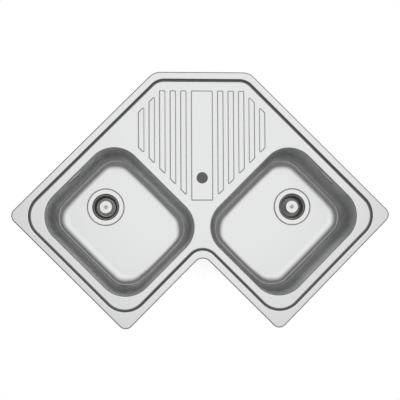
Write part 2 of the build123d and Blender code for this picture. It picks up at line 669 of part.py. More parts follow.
def overflow_elbow():
    """Moulded box behind the wall, open to the bowl, with a spigot pointing straight down."""
    back = ELBOW_FACE + ELBOW_DEPTH
    box = wall_plate(ELBOW_LENGTH, ELBOW_HEIGHT, ELBOW_RADIUS, -back, -ELBOW_FACE)
    hollow = wall_plate(
        ELBOW_LENGTH - 2 * ELBOW_WALL,
        ELBOW_HEIGHT - 2 * ELBOW_WALL,
        ELBOW_RADIUS - ELBOW_WALL,
        ELBOW_WALL - back,
        -ELBOW_FACE,
    )
    spigot = HOSE_BORE - 2 * SPIGOT_FIT
    down = Pos(BOWL_U, SPOUT_V, 0)
    box += down * rod(HOSE_CREST, HOSE_TOP_Z, -OVERFLOW_DROP)
    box += down * rod(spigot, HOSE_TOP_Z - SPIGOT_LENGTH, HOSE_TOP_Z)
    box -= [hollow, down * rod(spigot - 2 * SPIGOT_WALL, HOSE_TOP_Z - SPIGOT_LENGTH, -OVERFLOW_DROP)]
    boss = rod(BOSS_DIAMETER, ELBOW_WALL / 2 - back, -ELBOW_FACE)
    bore = rod(OVERFLOW_SCREW + 2 * RUNNING_FIT, -OVERFLOW_SCREW_LENGTH - FREE_HOLE, -ELBOW_FACE)
    return box + OVERFLOW * boss - OVERFLOW * bore


def overflow_screw():
    """Slotted screw through the grille into the elbow's boss."""
    top = GRILLE_THICK + OVERFLOW_SCREW_HEAD_HEIGHT
    screw = turned(
        (0, -OVERFLOW_SCREW_LENGTH),
        (OVERFLOW_SCREW / 2, -OVERFLOW_SCREW_LENGTH, EASED_EDGE),
        (OVERFLOW_SCREW / 2, GRILLE_THICK),
        (OVERFLOW_SCREW_HEAD / 2, GRILLE_THICK),
        (OVERFLOW_SCREW_HEAD / 2, top, OVERFLOW_SCREW_HEAD_HEIGHT / 2),
        (0, top),
    )
    depth = OVERFLOW_SCREW_HEAD_HEIGHT / 2
    return OVERFLOW * (screw - slot_cut(top - depth, depth, OVERFLOW_SCREW / 4, OVERFLOW_SCREW_HEAD))


def hose_section(distance, radius):
    """Circle square to the hose: down from the elbow, round the bend, and on to the waste body."""
    arc_length = HOSE_BEND * radians(90)
    bend_v, bend_z = SPOUT_V + HOSE_BEND, INLET_Z + HOSE_BEND
    if distance < HOSE_DROP:
        v, z, angle = SPOUT_V, HOSE_TOP_Z - distance, 0
    elif distance < HOSE_DROP + arc_length:
        angle = (distance - HOSE_DROP) / HOSE_BEND
        v, z = bend_v - HOSE_BEND * cos(angle), bend_z - HOSE_BEND * sin(angle)
    else:
        v, z, angle = bend_v + distance - HOSE_DROP - arc_length, INLET_Z, radians(90)
    square = Plane((BOWL_U, v, z), (1, 0, 0), (0, sin(angle), -cos(angle)))
    return square * Circle(radius)


def overflow_hose():
    """Ribbed hose with a smooth bore and plain straight ends."""
    length = HOSE_DROP + HOSE_BEND * radians(90) + HOSE_END
    ribs = int((length - 2 * HOSE_END) / HOSE_PITCH)
    pitch = (length - 2 * HOSE_END) / ribs
    crest, root = HOSE_CREST / 2, HOSE_ROOT / 2
    fall = pitch * (1 - HOSE_CREST_END)
    sections = [(0, crest), (HOSE_END - fall, crest)]
    for i in range(ribs):
        start = HOSE_END + i * pitch
        sections += [
            (start, root),
            (start + pitch * HOSE_ROOT_END, root),
            (start + pitch * HOSE_CREST_START, crest),
            (start + pitch * HOSE_CREST_END, crest),
        ]
    sections += [(length - HOSE_END, root), (length - HOSE_END + fall, crest), (length, crest)]
    body = loft([hose_section(place, radius) for place, radius in sections], ruled=True)
    corner = (BOWL_U, SPOUT_V, INLET_Z)
    route = FilletPolyline(
        (BOWL_U, SPOUT_V, HOSE_TOP_Z), corner, (BOWL_U, HOSE_END_V, INLET_Z), radius=HOSE_BEND
    )
    return body - sweep(hose_section(0, HOSE_BORE / 2), path=route)


# ---------------------------------------------------------------- fixing clips
# A clip's frame has its origin on the rim's outer edge, Y pointing in under the sink.
def strip(width, low_y, high_y, low_z, high_z):
    """Flat piece, centred on the clip, between two insets and two heights."""
    middle = ((low_y + high_y) / 2, (low_z + high_z) / 2)
    return Pos(0, middle[0], middle[1]) * Box(width, high_y - low_y, high_z - low_z)


def on_screw_axis(part):
    return Pos(0, CLIP_AXIS, 0) * part


def clip_bracket():
    """Bent strip welded under the deck, with a threaded boss for the clamping screw."""
    web_back = CLIP_WEB_INSET + CLIP_STRIP
    arm_front = CLIP_AXIS - CLIP_BOSS / 2 - CLIP_STRIP
    bracket = strip(CLIP_WIDTH, CLIP_WEB_INSET, web_back + CLIP_TAB, -SHEET - CLIP_STRIP, -SHEET)
    bracket += strip(CLIP_WIDTH, CLIP_WEB_INSET, web_back, -SHEET - CLIP_WEB_LENGTH, -SHEET)
    bracket += strip(CLIP_WIDTH, arm_front, CLIP_WEB_INSET, CLIP_ARM_Z, CLIP_ARM_Z + CLIP_STRIP)
    bracket += on_screw_axis(rod(CLIP_BOSS, CLIP_BOSS_Z, CLIP_ARM_Z))
    thread = rod(CLAMP_SCREW + 2 * RUNNING_FIT, CLIP_BOSS_Z, CLIP_ARM_Z + CLIP_STRIP)
    return bracket - on_screw_axis(thread)


def clip_claw():
    """Flat claw that rests on the screw's head and reaches out under the worktop."""
    heel = CLIP_WEB_INSET - REST_GAP
    claw = strip(CLAW_WIDTH, CLAW_TIP_INSET, heel, CLAW_Z, CLAW_Z + CLAW_THICK)
    tooth_end = CLAW_TIP_INSET + CLAW_TOOTH_THICK
    claw += strip(CLAW_WIDTH, CLAW_TIP_INSET, tooth_end, CLAW_Z, CLAW_Z + CLAW_THICK + CLAW_TOOTH)
    hole = rod(CLAMP_SCREW + 2 * FREE_HOLE, CLAW_Z, CLAW_Z + CLAW_THICK)
    return claw - on_screw_axis(hole)


def clamp_screw():
    """Slotted screw, driven from below into the bracket's boss."""
    head_top = CLAW_Z - REST_GAP
    head_foot = head_top - CLAMP_HEAD_HEIGHT
    tip = CLIP_BOSS_Z + CLAMP_ENGAGED
    screw = turned(
        (0, head_foot),
        (CLAMP_HEAD / 2, head_foot, CLAMP_HEAD_HEIGHT / 4),
        (CLAMP_HEAD / 2, head_top),
        (CLAMP_SCREW / 2, head_top),
        (CLAMP_SCREW / 2, tip, SCREW_TIP),
        (0, tip),
    )
    return on_screw_axis(screw - slot_cut(head_foot, SCREW_DRIVE_DEPTH, SCREW_DRIVE, CLAMP_HEAD))


def clip_places():
    """Name and place of each clip of the left arm."""
    return {
        "wall_inner": LEFT_ARM * Location((WALL_CLIP_INNER, 0, 0)),
        "wall_outer": LEFT_ARM * Location((WALL_CLIP_OUTER, 0, 0)),
        "end": LEFT_ARM * Location((WALL_LENGTH, ARM_DEPTH / 2, 0), (0, 0, 90)),
        "front": LEFT_ARM * Location((FRONT_CLIP, ARM_DEPTH, 0), (0, 0, 180)),
    }


# ---------------------------------------------------------------- the nodes
def left_nodes():
    """Pieces of the left arm, without the side in their names."""
    at_drain = {
        "strainer_cup": strainer_cup(),
        "upper_gasket": upper_gasket(),
        "lower_gasket": lower_gasket(),
        "waste_body": waste_body(),
        "waste_screw": waste_screw(),
        "basket": basket(),
        "basket_knob": basket_knob(),
        "basket_post": basket_post(),
        "basket_stopper": stopper(),
    }
    in_arm = {name: DRAIN * part for name, part in at_drain.items()}
    in_arm |= {
        "bowl": bowl(),
        "sound_pad": sound_pad(),
        "overflow_grille": overflow_grille(),
        "overflow_gasket": overflow_gasket(),
        "overflow_elbow": overflow_elbow(),
        "overflow_screw": overflow_screw(),
        "overflow_hose": overflow_hose(),
    }
    nodes = {name: LEFT_ARM * part for name, part in in_arm.items()}
    for name, place in clip_places().items():
        nodes[f"claw_{name}"] = place * clip_claw()
        nodes[f"clamp_screw_{name}"] = place * clamp_screw()
    return nodes


def all_nodes():
    back = Location((0, CUT_Y, 0), (0, 0, 180))
    brackets = [place * clip_bracket() for place in clip_places().values()]
    nodes = {
        "deck_sheet": deck_sheet(),
        "rim_seal": rim_seal(),
        "tap_stiffener": tap_stiffener(),
        "clip_brackets": Compound(
            [*brackets, *[mirrored(bracket) for bracket in brackets], back * clip_bracket()]
        ),
        "claw_back": back * clip_claw(),
        "clamp_screw_back": back * clamp_screw(),
    }
    for name, part in left_nodes().items():
        nodes[f"left_{name}"] = part
        nodes[f"right_{name}"] = mirrored(part)
    return nodes


os.makedirs("parts", exist_ok=True)
for node_name, node in all_nodes().items():
    export_step(node, f"parts/{node_name}.step")
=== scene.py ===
"""Corner kitchen sink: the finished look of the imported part, laid out as an add-on."""

from math import cos, degrees, pi, radians, sin, sqrt, tan

import bpy
import numpy as np
from mathutils.geometry import delaunay_2d_cdt
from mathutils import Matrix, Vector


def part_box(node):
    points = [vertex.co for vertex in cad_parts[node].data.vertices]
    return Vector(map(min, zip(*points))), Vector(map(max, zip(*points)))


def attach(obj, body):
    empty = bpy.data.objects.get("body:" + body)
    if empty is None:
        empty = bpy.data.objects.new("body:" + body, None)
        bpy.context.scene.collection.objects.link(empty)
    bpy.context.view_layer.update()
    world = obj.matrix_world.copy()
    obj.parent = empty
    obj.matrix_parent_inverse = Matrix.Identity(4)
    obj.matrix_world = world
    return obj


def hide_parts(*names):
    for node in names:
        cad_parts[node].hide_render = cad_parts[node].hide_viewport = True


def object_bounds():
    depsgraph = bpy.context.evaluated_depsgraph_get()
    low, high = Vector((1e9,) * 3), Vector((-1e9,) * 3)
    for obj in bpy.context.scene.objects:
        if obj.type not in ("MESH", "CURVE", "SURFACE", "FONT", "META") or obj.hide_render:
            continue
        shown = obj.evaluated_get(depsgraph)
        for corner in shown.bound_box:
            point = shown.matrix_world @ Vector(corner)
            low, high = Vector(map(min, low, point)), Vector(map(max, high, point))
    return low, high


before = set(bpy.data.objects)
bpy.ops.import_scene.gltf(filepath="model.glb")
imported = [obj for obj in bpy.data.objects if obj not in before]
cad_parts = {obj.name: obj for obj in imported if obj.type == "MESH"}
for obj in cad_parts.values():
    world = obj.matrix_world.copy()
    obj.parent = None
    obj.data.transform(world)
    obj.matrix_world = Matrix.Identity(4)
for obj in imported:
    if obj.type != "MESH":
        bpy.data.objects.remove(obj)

bl_info = {
    "name": "Corner kitchen sink",
    "version": (1, 0, 0),
    "blender": (4, 5, 0),
    "location": "3D Viewport > Sidebar > Sink",
    "description": "Builds the surfaces, finishes and studio of a pressed steel corner sink",
    "category": "Object",
}

CAD_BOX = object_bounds()
SIDES = {"left": -1, "right": 1}

# Plan of the sink, in metres, as the solids have it.
WALL_LENGTH, ARM_DEPTH, CORNER_CUT = 0.830, 0.500, 0.294
CORNER_Y = 0.4726  # the room's corner from the tap hole
RIM_CORNERS = (0.051, 0.025, 0.025, 0.029, 0.025, 0.025, 0.051)
STEP_CORNERS = (0.050, 0.070, 0.070, 0.052, 0.070, 0.070, 0.050)
STEP_INSETS = (0.0265, 0.025, 0.0275, 0.0265)  # wall, end, front and cut sides
STEP_FOOT = 0.0035  # from those insets inwards to the foot of the step
SHEET = 0.001
DECK_TOP = 0.0
RIM_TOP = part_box("deck_sheet")[1].z
SEAL_THICK = 0.004
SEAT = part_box("rim_seal")[1].z - SEAL_THICK  # the worktop, where the rolled edge ends
EDGE_TURN = 46  # degrees off upright where the two bends of the rolled edge meet
PANEL_BACK, PANEL_FRONT = 0.2686, 0.0691  # from the tap hole
PANEL_GAP = 0.0147  # panel to the first flute
FLUTE_RISE, FLUTE_CORNER = 0.0015, 0.003
FLUTE_COUNT = 5  # on each side of the panel
FLUTE_WALL_LINE = 0.054  # wall to the outer flutes' back ends
FLUTE_BOWL_GAP = 0.0225  # bowl's edge to the flutes' front ends
BOWL_LENGTH, BOWL_WIDTH, BOWL_CORNER, BOWL_EDGE = 0.343, 0.392, 0.086, 0.006
BOWL_MIDDLE = (0.6065, 0.251)  # in the arm's own frame
BOWL_DRAFT = radians(3)
DRAIN_OFFSET, DRAIN_RADIUS = 0.072, 0.045
RECESS_TOP, RECESS_FLOOR = 0.0605, 0.0575  # radii of the sunk seat round the drain
RECESS_DEPTH, RECESS_BEND = 0.003, 0.0012
OVERFLOW_DROP = 0.030  # deck to the middle of the overflow, down the wall
OVERFLOW_LENGTH, OVERFLOW_HEIGHT = 0.054, 0.014
OVERFLOW_BACKING = 0.003  # the bowl's sheet and the overflow's gasket
ELBOW_DEPTH = 0.027
HOSE_CUFF, HOSE_BEND = 0.026, 0.045
HOSE_TOP, HOSE_LEVEL = -0.047, -0.178  # at the elbow, and at the waste body's inlet

# Camera and cloth, as they were fitted to the photograph.
CAMERA_PLACE, CAMERA_LENS = (-0.1514, -0.1953, 2.5), 73.817
CAMERA_TURN = (2.926, -3.291, -0.274)  # degrees
DOME_AXIS, DOME_RADIUS, DOME_REACH = (0.07, 0.13, 1.0), 5.0, radians(93)


# ---------------------------------------------------------------- surfaces
def in_sink(points, side):
    """Arm's frame to the sink's frame: x = side (u - v) / sqrt 2, y = corner - (u + v) / sqrt 2."""
    u, v, w = np.moveaxis(np.asarray(points, float), -1, 0)
    return np.stack([side * (u - v) / sqrt(2), CORNER_Y - (u + v) / sqrt(2), w], -1)


def turned_into_sink(directions, side):
    """The same turn as in_sink, for directions."""
    u, v, w = np.moveaxis(np.asarray(directions, float), -1, 0)
    return np.stack([side * (u - v) / sqrt(2), -(u + v) / sqrt(2), w], -1)


def rounded_outline(corners, radii, steps, shares=()):
    """Counter-clockwise outline: at each corner an arc tangent to both sides, and between two arcs
    points at the given shares of the straight. Returns the points and their inward normals."""
    corners, radii = np.asarray(corners, float), np.asarray(radii, float)
    before = corners - np.roll(corners, 1, 0)
    before /= np.linalg.norm(before, axis=1, keepdims=True)
    after = np.roll(before, -1, 0)
    cross = before[:, 0] * after[:, 1] - before[:, 1] * after[:, 0]
    turn = np.arctan2(cross, (before * after).sum(1))
    left = np.stack([-before[:, 1], before[:, 0]], 1)
    start = corners - before * (radii * np.tan(np.abs(turn) / 2))[:, None]
    reach = (radii * np.sign(turn))[:, None]
    centre = start + left * reach
    angle = turn[:, None] * np.linspace(0, 1, steps + 1)
    c, s = np.cos(angle), np.sin(angle)
    normal = np.stack([left[:, :1] * c - left[:, 1:] * s, left[:, :1] * s + left[:, 1:] * c], -1)
    points = centre[:, None] - reach[:, None] * normal
    if len(shares):
        share = np.asarray(shares)[None, :, None]
        first, last = points[:, -1:], np.roll(points[:, :1], -1, 0)
        run = first + (last - first) * share
        points = np.concatenate([points, run], 1)
        normal = np.concatenate([normal, np.repeat(normal[:, -1:], len(shares), 1)], 1)
    return points.reshape(-1, 2), normal.reshape(-1, 2)


def carried(outline, normals, profile):
    """A profile carried round an outline: each profile row (inset, height, inward part and upward
    part of the normal) moves every point along its normal by the inset, and up by the height. The
    profile is the same all round, or has its own values for each point."""
    profile = np.asarray(profile)
    profile = profile[:, None] if profile.ndim == 2 else profile
    inset, height, inward, upward = np.moveaxis(profile, -1, 0)
    flat = outline[None] + inset[..., None] * normals[None]
    level = np.broadcast_to(height, flat.shape[:2])
    points = np.concatenate([flat, level[..., None]], -1)
    lean = inward[..., None] * normals[None]
    rise = np.broadcast_to(upward, flat.shape[:2])
    return points, np.concatenate([lean, rise[..., None]], -1)


def bend(start, end, radius, middle, steps):
    """Profile rows of an arc: the normal's angle from upright runs from start to end, and the point
    is the middle plus (or, with a negative radius, minus) the radius along that normal."""
    angle = np.radians(np.linspace(start, end, steps + 1))
    inward, upward = np.sin(angle), np.cos(angle)
    return np.stack(
        [middle[0] + radius * inward, middle[1] + radius * upward, inward, upward], 1
    )


def turned(profile, angle, middle=(0.0, 0.0)):
    """Surface of revolution: each profile row (radius, height, outward and upward part of the
    normal) is turned through the given angles."""
    radius, height, outward, upward = (np.asarray(p)[:, None] for p in np.transpose(profile))
    ones = np.ones_like(angle)
    points = np.stack(
        [middle[0] + radius * np.cos(angle), middle[1] + radius * np.sin(angle), height * ones], -1
    )
    normals = np.stack([outward * np.cos(angle), outward * np.sin(angle), upward * ones], -1)
    return points, normals


def inside(points, loop):
    """Even-odd test: counts the sides of the loop that a ray along +x from each point crosses."""
    x, y = points[:, :1], points[:, 1:2]
    ax, ay = loop[None, :, 0], loop[None, :, 1]
    bx, by = np.roll(loop[:, 0], -1)[None], np.roll(loop[:, 1], -1)[None]
    spans = (ay > y) != (by > y)
    across = ax + (y - ay) * (bx - ax) / np.where(by == ay, 1, by - ay)
    return (spans & (x < across)).sum(1) % 2 == 1


WELD_CELL = 1e-6  # metres
WELD_SHIFT = 0.31  # keeps the borders of the cells off round values


class Skin:
    """One piece's surface: triangles with a normal and a map place at each corner."""

    def __init__(self):
        self.points, self.normals, self.places = [], [], []

    def add(self, points, normals, places):
        """Triangles, each wound so that it faces the way its corners' normals point. Slivers
        without an area are left out."""
        face = np.cross(points[:, 1] - points[:, 0], points[:, 2] - points[:, 0])
        keep = np.linalg.norm(face, axis=1) > 1e-14
        back = (face * normals.sum(1)).sum(1) < 0
        for mine, new in ((self.points, points), (self.normals, normals), (self.places, places)):
            new = np.where(back[:, None, None], new[:, ::-1], new)
            mine.append(new[keep])

    def grid(self, points, normals, leave=None):
        """A grid of rows and columns, closed round its columns. Each cell is two triangles, apart
        from the cells to leave out. The map place is the distance along the row and the column."""
        rows, columns = points.shape[:2]
        around = np.linalg.norm(points - np.roll(points, 1, 1), axis=-1)
        around[:, 0] = 0
        down = np.linalg.norm(points - np.roll(points, 1, 0), axis=-1)
        down[0] = 0
        places = np.stack([around.cumsum(1), down.cumsum(0)], -1)
        step = np.linalg.norm(points[:, -1] - points[:, 0], axis=-1)
        last = places[:, -1] + np.stack([step, np.zeros(rows)], -1)
        points = np.concatenate([points, points[:, :1]], 1)
        normals = np.concatenate([normals, normals[:, :1]], 1)
        places = np.concatenate([places, last[:, None]], 1)
        row, column = np.meshgrid(np.arange(rows - 1), np.arange(columns), indexing="ij")
        if leave is not None:
            row, column = row[~leave], column[~leave]
        row, column = row.ravel(), column.ravel()
        for cell in (((0, 0), (0, 1), (1, 1)), ((0, 0), (1, 1), (1, 0))):
            pick = tuple(np.stack([r + d[i] for d in cell], 1) for i, r in enumerate((row, column)))
            self.add(points[pick], normals[pick], places[pick])

    def fill(self, outer, holes, height):
        """Flat web at one height between an outer loop and its holes, as a Delaunay triangulation
        that keeps the loops' sides."""
        loops = [outer, *holes]
        ends = np.cumsum([0] + [len(loop) for loop in loops])
        sides = [
            (int(a + i), int(a + (i + 1) % (b - a)))
            for a, b in zip(ends, ends[1:])
            for i in range(b - a)
        ]
        flat = np.concatenate(loops)
        _, _, faces, origin, _, _ = delaunay_2d_cdt(flat.tolist(), sides, [], 0, 1e-9)
        index = np.array([ids[0] for ids in origin])[np.array(faces)]
        middle = flat[index].mean(1)
        index = index[sum(inside(middle, loop).astype(int) for loop in loops) == 1]
        points = np.concatenate([flat, np.full((len(flat), 1), height)], 1)[index]
        normals = np.broadcast_to((0.0, 0.0, 1.0), points.shape).copy()
        self.add(points, normals, points[..., :2].copy())

    def welded(self):
        """Index of each corner's vertex, and the vertices. All corners in one small cell of space
        share a vertex."""
        corners = np.concatenate(self.points).reshape(-1, 3)
        key = np.round(corners / WELD_CELL + WELD_SHIFT).astype(np.int64)
        _, first, index = np.unique(key, axis=0, return_index=True, return_inverse=True)
        return index.reshape(-1, 3), corners[first]

    def thicken(self, thickness):
        """Gives the sheet its other face, one thickness behind along the mean normals, and closes
        every free edge with a strip."""
        index, vertices = self.welded()
        points = np.concatenate(self.points)
        normals, places = np.concatenate(self.normals), np.concatenate(self.places)
        mean = np.zeros_like(vertices)
        np.add.at(mean, index.ravel(), normals.reshape(-1, 3))
        mean /= np.maximum(np.linalg.norm(mean, axis=1, keepdims=True), 1e-12)
        behind = points - thickness * mean[index]
        edges = np.concatenate([index[:, [0, 1]], index[:, [1, 2]], index[:, [2, 0]]])
        map_ends = np.concatenate([places[:, [0, 1]], places[:, [1, 2]], places[:, [2, 0]]])
        order = np.sort(edges, 1)
        _, which, count = np.unique(order, axis=0, return_inverse=True, return_counts=True)
        free = count[which.ravel()] == 1
        a, b = vertices[edges[free, 0]], vertices[edges[free, 1]]
        a2, b2 = a - thickness * mean[edges[free, 0]], b - thickness * mean[edges[free, 1]]
        outward = np.cross(a - a2, b - a)
        outward /= np.maximum(np.linalg.norm(outward, axis=1, keepdims=True), 1e-12)
        outward = -outward[:, None].repeat(3, 1)
        ends = map_ends[free]
        self.add(behind, -normals, places)
        for corners, pick in (((a, b, b2), (0, 1, 1)), ((a, b2, a2), (0, 1, 0))):
            self.add(np.stack(corners, 1), outward, ends[:, pick])

    def piece(self, name, body, slot, material, stands_for=()):
        """Makes the mesh, with its corners' own normals, and lets it ride on its body."""
        index, vertices = self.welded()
        good = (index != np.roll(index, 1, 1)).all(1)
        index = index[good]
        mesh = bpy.data.meshes.new(name)
        mesh.from_pydata(vertices.tolist(), [], index.tolist())
        places = mesh.uv_layers.new(name="map")
        places.data.foreach_set("uv", np.concatenate(self.places)[good].ravel())
        mesh.polygons.foreach_set("use_smooth", np.ones(len(index), bool))
        normals = np.concatenate(self.normals)[good].reshape(-1, 3)
        normals /= np.maximum(np.linalg.norm(normals, axis=1, keepdims=True), 1e-12)
        mesh.normals_split_custom_set(normals.tolist())
        mesh.materials.append(material)
        thing = bpy.data.objects.new(name, mesh)
        bpy.context.scene.collection.objects.link(thing)
        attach(thing, body)
        if stands_for:
            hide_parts(*stands_for)


def ring_cells(rows, columns):
    """Corners of each cell of a grid that closes round its columns."""
    index = np.arange(rows * columns).reshape(rows, columns)
    a, b = index[:-1], index[1:]
    return np.stack([a, b, np.roll(b, -1, 1), np.roll(a, -1, 1)], -1).reshape(-1, 4).tolist()


# ---------------------------------------------------------------- finishes
class Finish:
    """A node material with a Principled shader, and short ways to add to it."""

    def __init__(self, name, colour, metallic, roughness):
        self.material = bpy.data.materials.new(name)
        self.material.use_nodes = True
        self.tree = self.material.node_tree
        self.shader = self.tree.nodes["Principled BSDF"]
        self.shader.inputs["Base Color"].default_value = (*colour, 1)
        self.shader.inputs["Metallic"].default_value = metallic
        self.shader.inputs["Roughness"].default_value = roughness
        self.material.diffuse_color = (*colour, 1)

    def node(self, kind, inputs=None, **settings):
        """A node with its settings, and its inputs given as values or as other nodes' outputs."""
        node = self.tree.nodes.new(kind)
        for key, value in settings.items():
            setattr(node, key, value)
        for key, value in (inputs or {}).items():
            if isinstance(value, bpy.types.NodeSocket):
                self.tree.links.new(value, node.inputs[key])
            else:
                node.inputs[key].default_value = value
        return node

    def place(self, stretch=(1, 1, 1), mapped=False):
        """Where on the piece: object coordinates or its own map, stretched."""
        source = self.node("ShaderNodeTexCoord").outputs["UV" if mapped else "Object"]
        settings = {"Vector": source, "Scale": stretch}
        return self.node("ShaderNodeMapping", settings, vector_type="POINT").outputs[0]

    def noise(self, place, scale, detail=2.0, roughness=0.5):
        settings = {"Vector": place, "Scale": scale, "Detail": detail, "Roughness": roughness}
        return self.node("ShaderNodeTexNoise", settings).outputs[0]

    def spread(self, value, low, high, low_in=0.3, high_in=0.7):
        """Straight run from low to high as the value goes from low_in to high_in, held outside."""
        settings = {0: value, 1: low_in, 2: high_in, 3: low, 4: high}
        return self.node("ShaderNodeMapRange", settings).outputs[0]

    def sum(self, kind, first, second=0.0):
        """Adds, multiplies or otherwise works out two values."""
        return self.node("ShaderNodeMath", {0: first, 1: second}, operation=kind).outputs[0]

    def band(self, value, rise, fall):
        """1 between two places and 0 outside them: it rises over the first pair of values and
        falls over the second."""
        up, down = self.spread(value, 0.0, 1.0, *rise), self.spread(value, 1.0, 0.0, *fall)
        return self.sum("MULTIPLY", up, down)

    def tint(self, value, dark, light):
        """Base colour that runs from dark to light with a value from 0 to 1."""
        ends = {0: value, 6: (*dark, 1), 7: (*light, 1)}
        mix = self.node("ShaderNodeMix", ends, data_type="RGBA")
        self.tree.links.new(mix.outputs[2], self.shader.inputs["Base Color"])

    def rough(self, value):
        self.tree.links.new(value, self.shader.inputs["Roughness"])

    def relief(self, height, depth, strength=1.0, under=None):
        """Bump of a real depth in metres, over an earlier bump if one is given."""
        inputs = {"Height": height, "Distance": depth, "Strength": strength}
        if under is not None:
            inputs["Normal"] = under
        bump = self.node("ShaderNodeBump", inputs).outputs[0]
        self.tree.links.new(bump, self.shader.inputs["Normal"])
        return bump


PAINTED_SHADE_HEIGHTS = (0.0018, 0.003), (0.0058, 0.0068)  # painted shade on the step and the rim's rolled edge, from the foot of the step to the rim
WALL_HEIGHTS = (-0.146, -0.118), (-0.012, -0.001)  # from the foot of the bowl's wall to its lip


def shaded(colour, share):
    """The colour times a share, held at full brightness."""
    return [min(1.0, c * share) for c in colour]


def satin_deck(look):
    """Rolled satin sheet: fine grain along X and faint cloudiness. It has painted shade between two
    pairs of heights, on the step and on the rim's rolled edge."""
    f = Finish("satin_deck", look.steel, 1.0, look.satin)
    grain = f.noise(f.place((25, 900, 900)), 1.0, 3.0, 0.6)
    cloud = f.noise(f.place(), 7.0, 3.0)
    shade = f.spread(f.sum("ADD", f.spread(grain, 0.25, 0.75), cloud), 0.945, 1.0, 0.55, 1.45)
    height = f.node("ShaderNodeSeparateXYZ", {0: f.place()}).outputs["Z"]
    # Painted shade: the colour darkens towards 0.4 of the steel between these heights, on the step
    # and the rolled edge.
    unshaded = f.sum("SUBTRACT", 1.0, f.band(height, *PAINTED_SHADE_HEIGHTS))
    f.tint(f.sum("MULTIPLY", shade, unshaded), shaded(look.steel, 0.4), shaded(look.steel, 1.01))
    f.rough(f.spread(grain, look.satin - 0.01, look.satin + 0.03))
    f.relief(grain, 0.000004, 0.5)
    return f.material


def drawn_bowl(look):
    """Deep drawn sheet: the floor keeps the sheet's satin. The walls, which were stretched and then
    brushed, are duller, with streaks down them from the bowl's map that darken their colour, partly
    as brushing marks and partly as painted reflection, and with painted shade in their corners."""
    f = Finish("drawn_bowl", look.steel, 1.0, look.satin)
    streaks = f.noise(f.place((160, 3.5, 1), mapped=True), 1.0, 4.0, 0.7)
    fine = f.noise(f.place((1400, 12, 1), mapped=True), 1.0, 2.0)
    across, along, height = f.node("ShaderNodeSeparateXYZ", {0: f.place()}).outputs
    wall = f.band(height, *WALL_HEIGHTS)
    over = f.sum("SUBTRACT", f.sum("ABSOLUTE", across), (BOWL_MIDDLE[0] - BOWL_MIDDLE[1]) / sqrt(2))
    up = f.sum("SUBTRACT", along, CORNER_Y - sum(BOWL_MIDDLE) / sqrt(2))
    # The bowl stands at 45 degrees, so the difference of these squares is twice the product of the
    # distances along its own length and width, and is large in its corners only.
    corner = f.sum("SUBTRACT", f.sum("MULTIPLY", over, over), f.sum("MULTIPLY", up, up))
    corner = f.spread(f.sum("ABSOLUTE", corner), 0.0, 1.0, 0.022, 0.050)
    # Painted reflection and painted shade: the walls' colour darkens along the streaks, and more in
    # the corners.
    dark = f.sum("MULTIPLY", f.sum("ADD", f.spread(streaks, 1.0, 0.0), corner), wall)
    f.tint(f.spread(dark, 0.0, 1.0, 0.0, 2.0), look.steel, shaded(look.steel, 0.66))
    dull = f.sum("MULTIPLY", f.spread(streaks, 0.5, 1.1), wall)
    f.rough(f.spread(dull, look.satin, look.satin + 0.2, 0.0, 1.0))
    f.relief(streaks, 0.00003, 0.3, f.relief(fine, 0.000004, 0.4))
    return f.material


def polished_steel(look):
    """Turned and polished steel, with faint patches of wear."""
    f = Finish("polished_steel", look.steel, 1.0, 0.12)
    wear = f.noise(f.place(), 140.0, 3.0)
    f.rough(f.spread(wear, 0.09, 0.2))
    f.relief(wear, 0.000006, 0.25)
    return f.material


def brushed_basket(look):
    """Thin pressed sheet of the basket: a duller steel, tumbled after it was punched, with its
    colour darkened as painted shade in the drain.
    """
    f = Finish("brushed_basket", look.basket, 1.0, 0.42)
    cloud = f.noise(f.place(), 260.0, 3.0)
    f.tint(f.spread(cloud, 0.0, 1.0), shaded(look.basket, 0.8), shaded(look.basket, 1.15))
    f.rough(f.spread(cloud, 0.36, 0.48))
    f.relief(f.noise(f.place(), 1800.0, 2.0), 0.00001, 0.4)
    return f.material


def zinc_plate(look):
    """Zinc plating: pale grey with darker and slightly yellow clouds, and a fine grain."""
    f = Finish("zinc_plate", (0.62, 0.62, 0.6), 1.0, 0.42)
    cloud = f.noise(f.place(), 160.0, 4.0, 0.6)
    f.tint(f.spread(cloud, 0.0, 1.0), (0.46, 0.45, 0.41), (0.66, 0.67, 0.66))
    f.rough(f.spread(cloud, 0.34, 0.52))
    f.relief(f.noise(f.place(), 900.0, 2.0), 0.00002, 0.4)
    return f.material


def black_rubber(look):
    """Moulded rubber: nearly black, matt, with a dusty bloom."""
    f = Finish("black_rubber", (0.03, 0.03, 0.03), 0.0, 0.7)
    bloom = f.noise(f.place(), 220.0, 4.0)
    f.tint(f.spread(bloom, 0.0, 1.0), (0.02, 0.02, 0.02), (0.055, 0.053, 0.05))
    f.rough(f.spread(bloom, 0.6, 0.82))
    f.relief(bloom, 0.00005, 0.4)
    return f.material


def foam_strip(look):
    """Closed-cell foam: small round cells pressed into a dark grey strip."""
    f = Finish("foam_strip", (0.08, 0.08, 0.08), 0.0, 0.85)
    settings = {"Vector": f.place(), "Scale": 900.0}
    cells = f.node("ShaderNodeTexVoronoi", settings).outputs["Distance"]
    f.tint(cells, (0.045, 0.045, 0.045), (0.13, 0.13, 0.13))
    f.relief(cells, 0.0002, 0.6)
    return f.material


def damping_sheet(look):
    """Bitumen damping sheet: charcoal with mineral grains, slightly glossier in patches."""
    f = Finish("damping_sheet", (0.1, 0.1, 0.105), 0.0, 0.6)
    grains = f.noise(f.place(), 700.0, 5.0, 0.7)
    cloud = f.noise(f.place(), 25.0, 2.0)
    f.tint(f.spread(grains, 0.0, 1.0), (0.07, 0.07, 0.075), (0.17, 0.17, 0.175))
    f.rough(f.spread(cloud, 0.5, 0.75))
    f.relief(grains, 0.0001, 0.5)
    return f.material


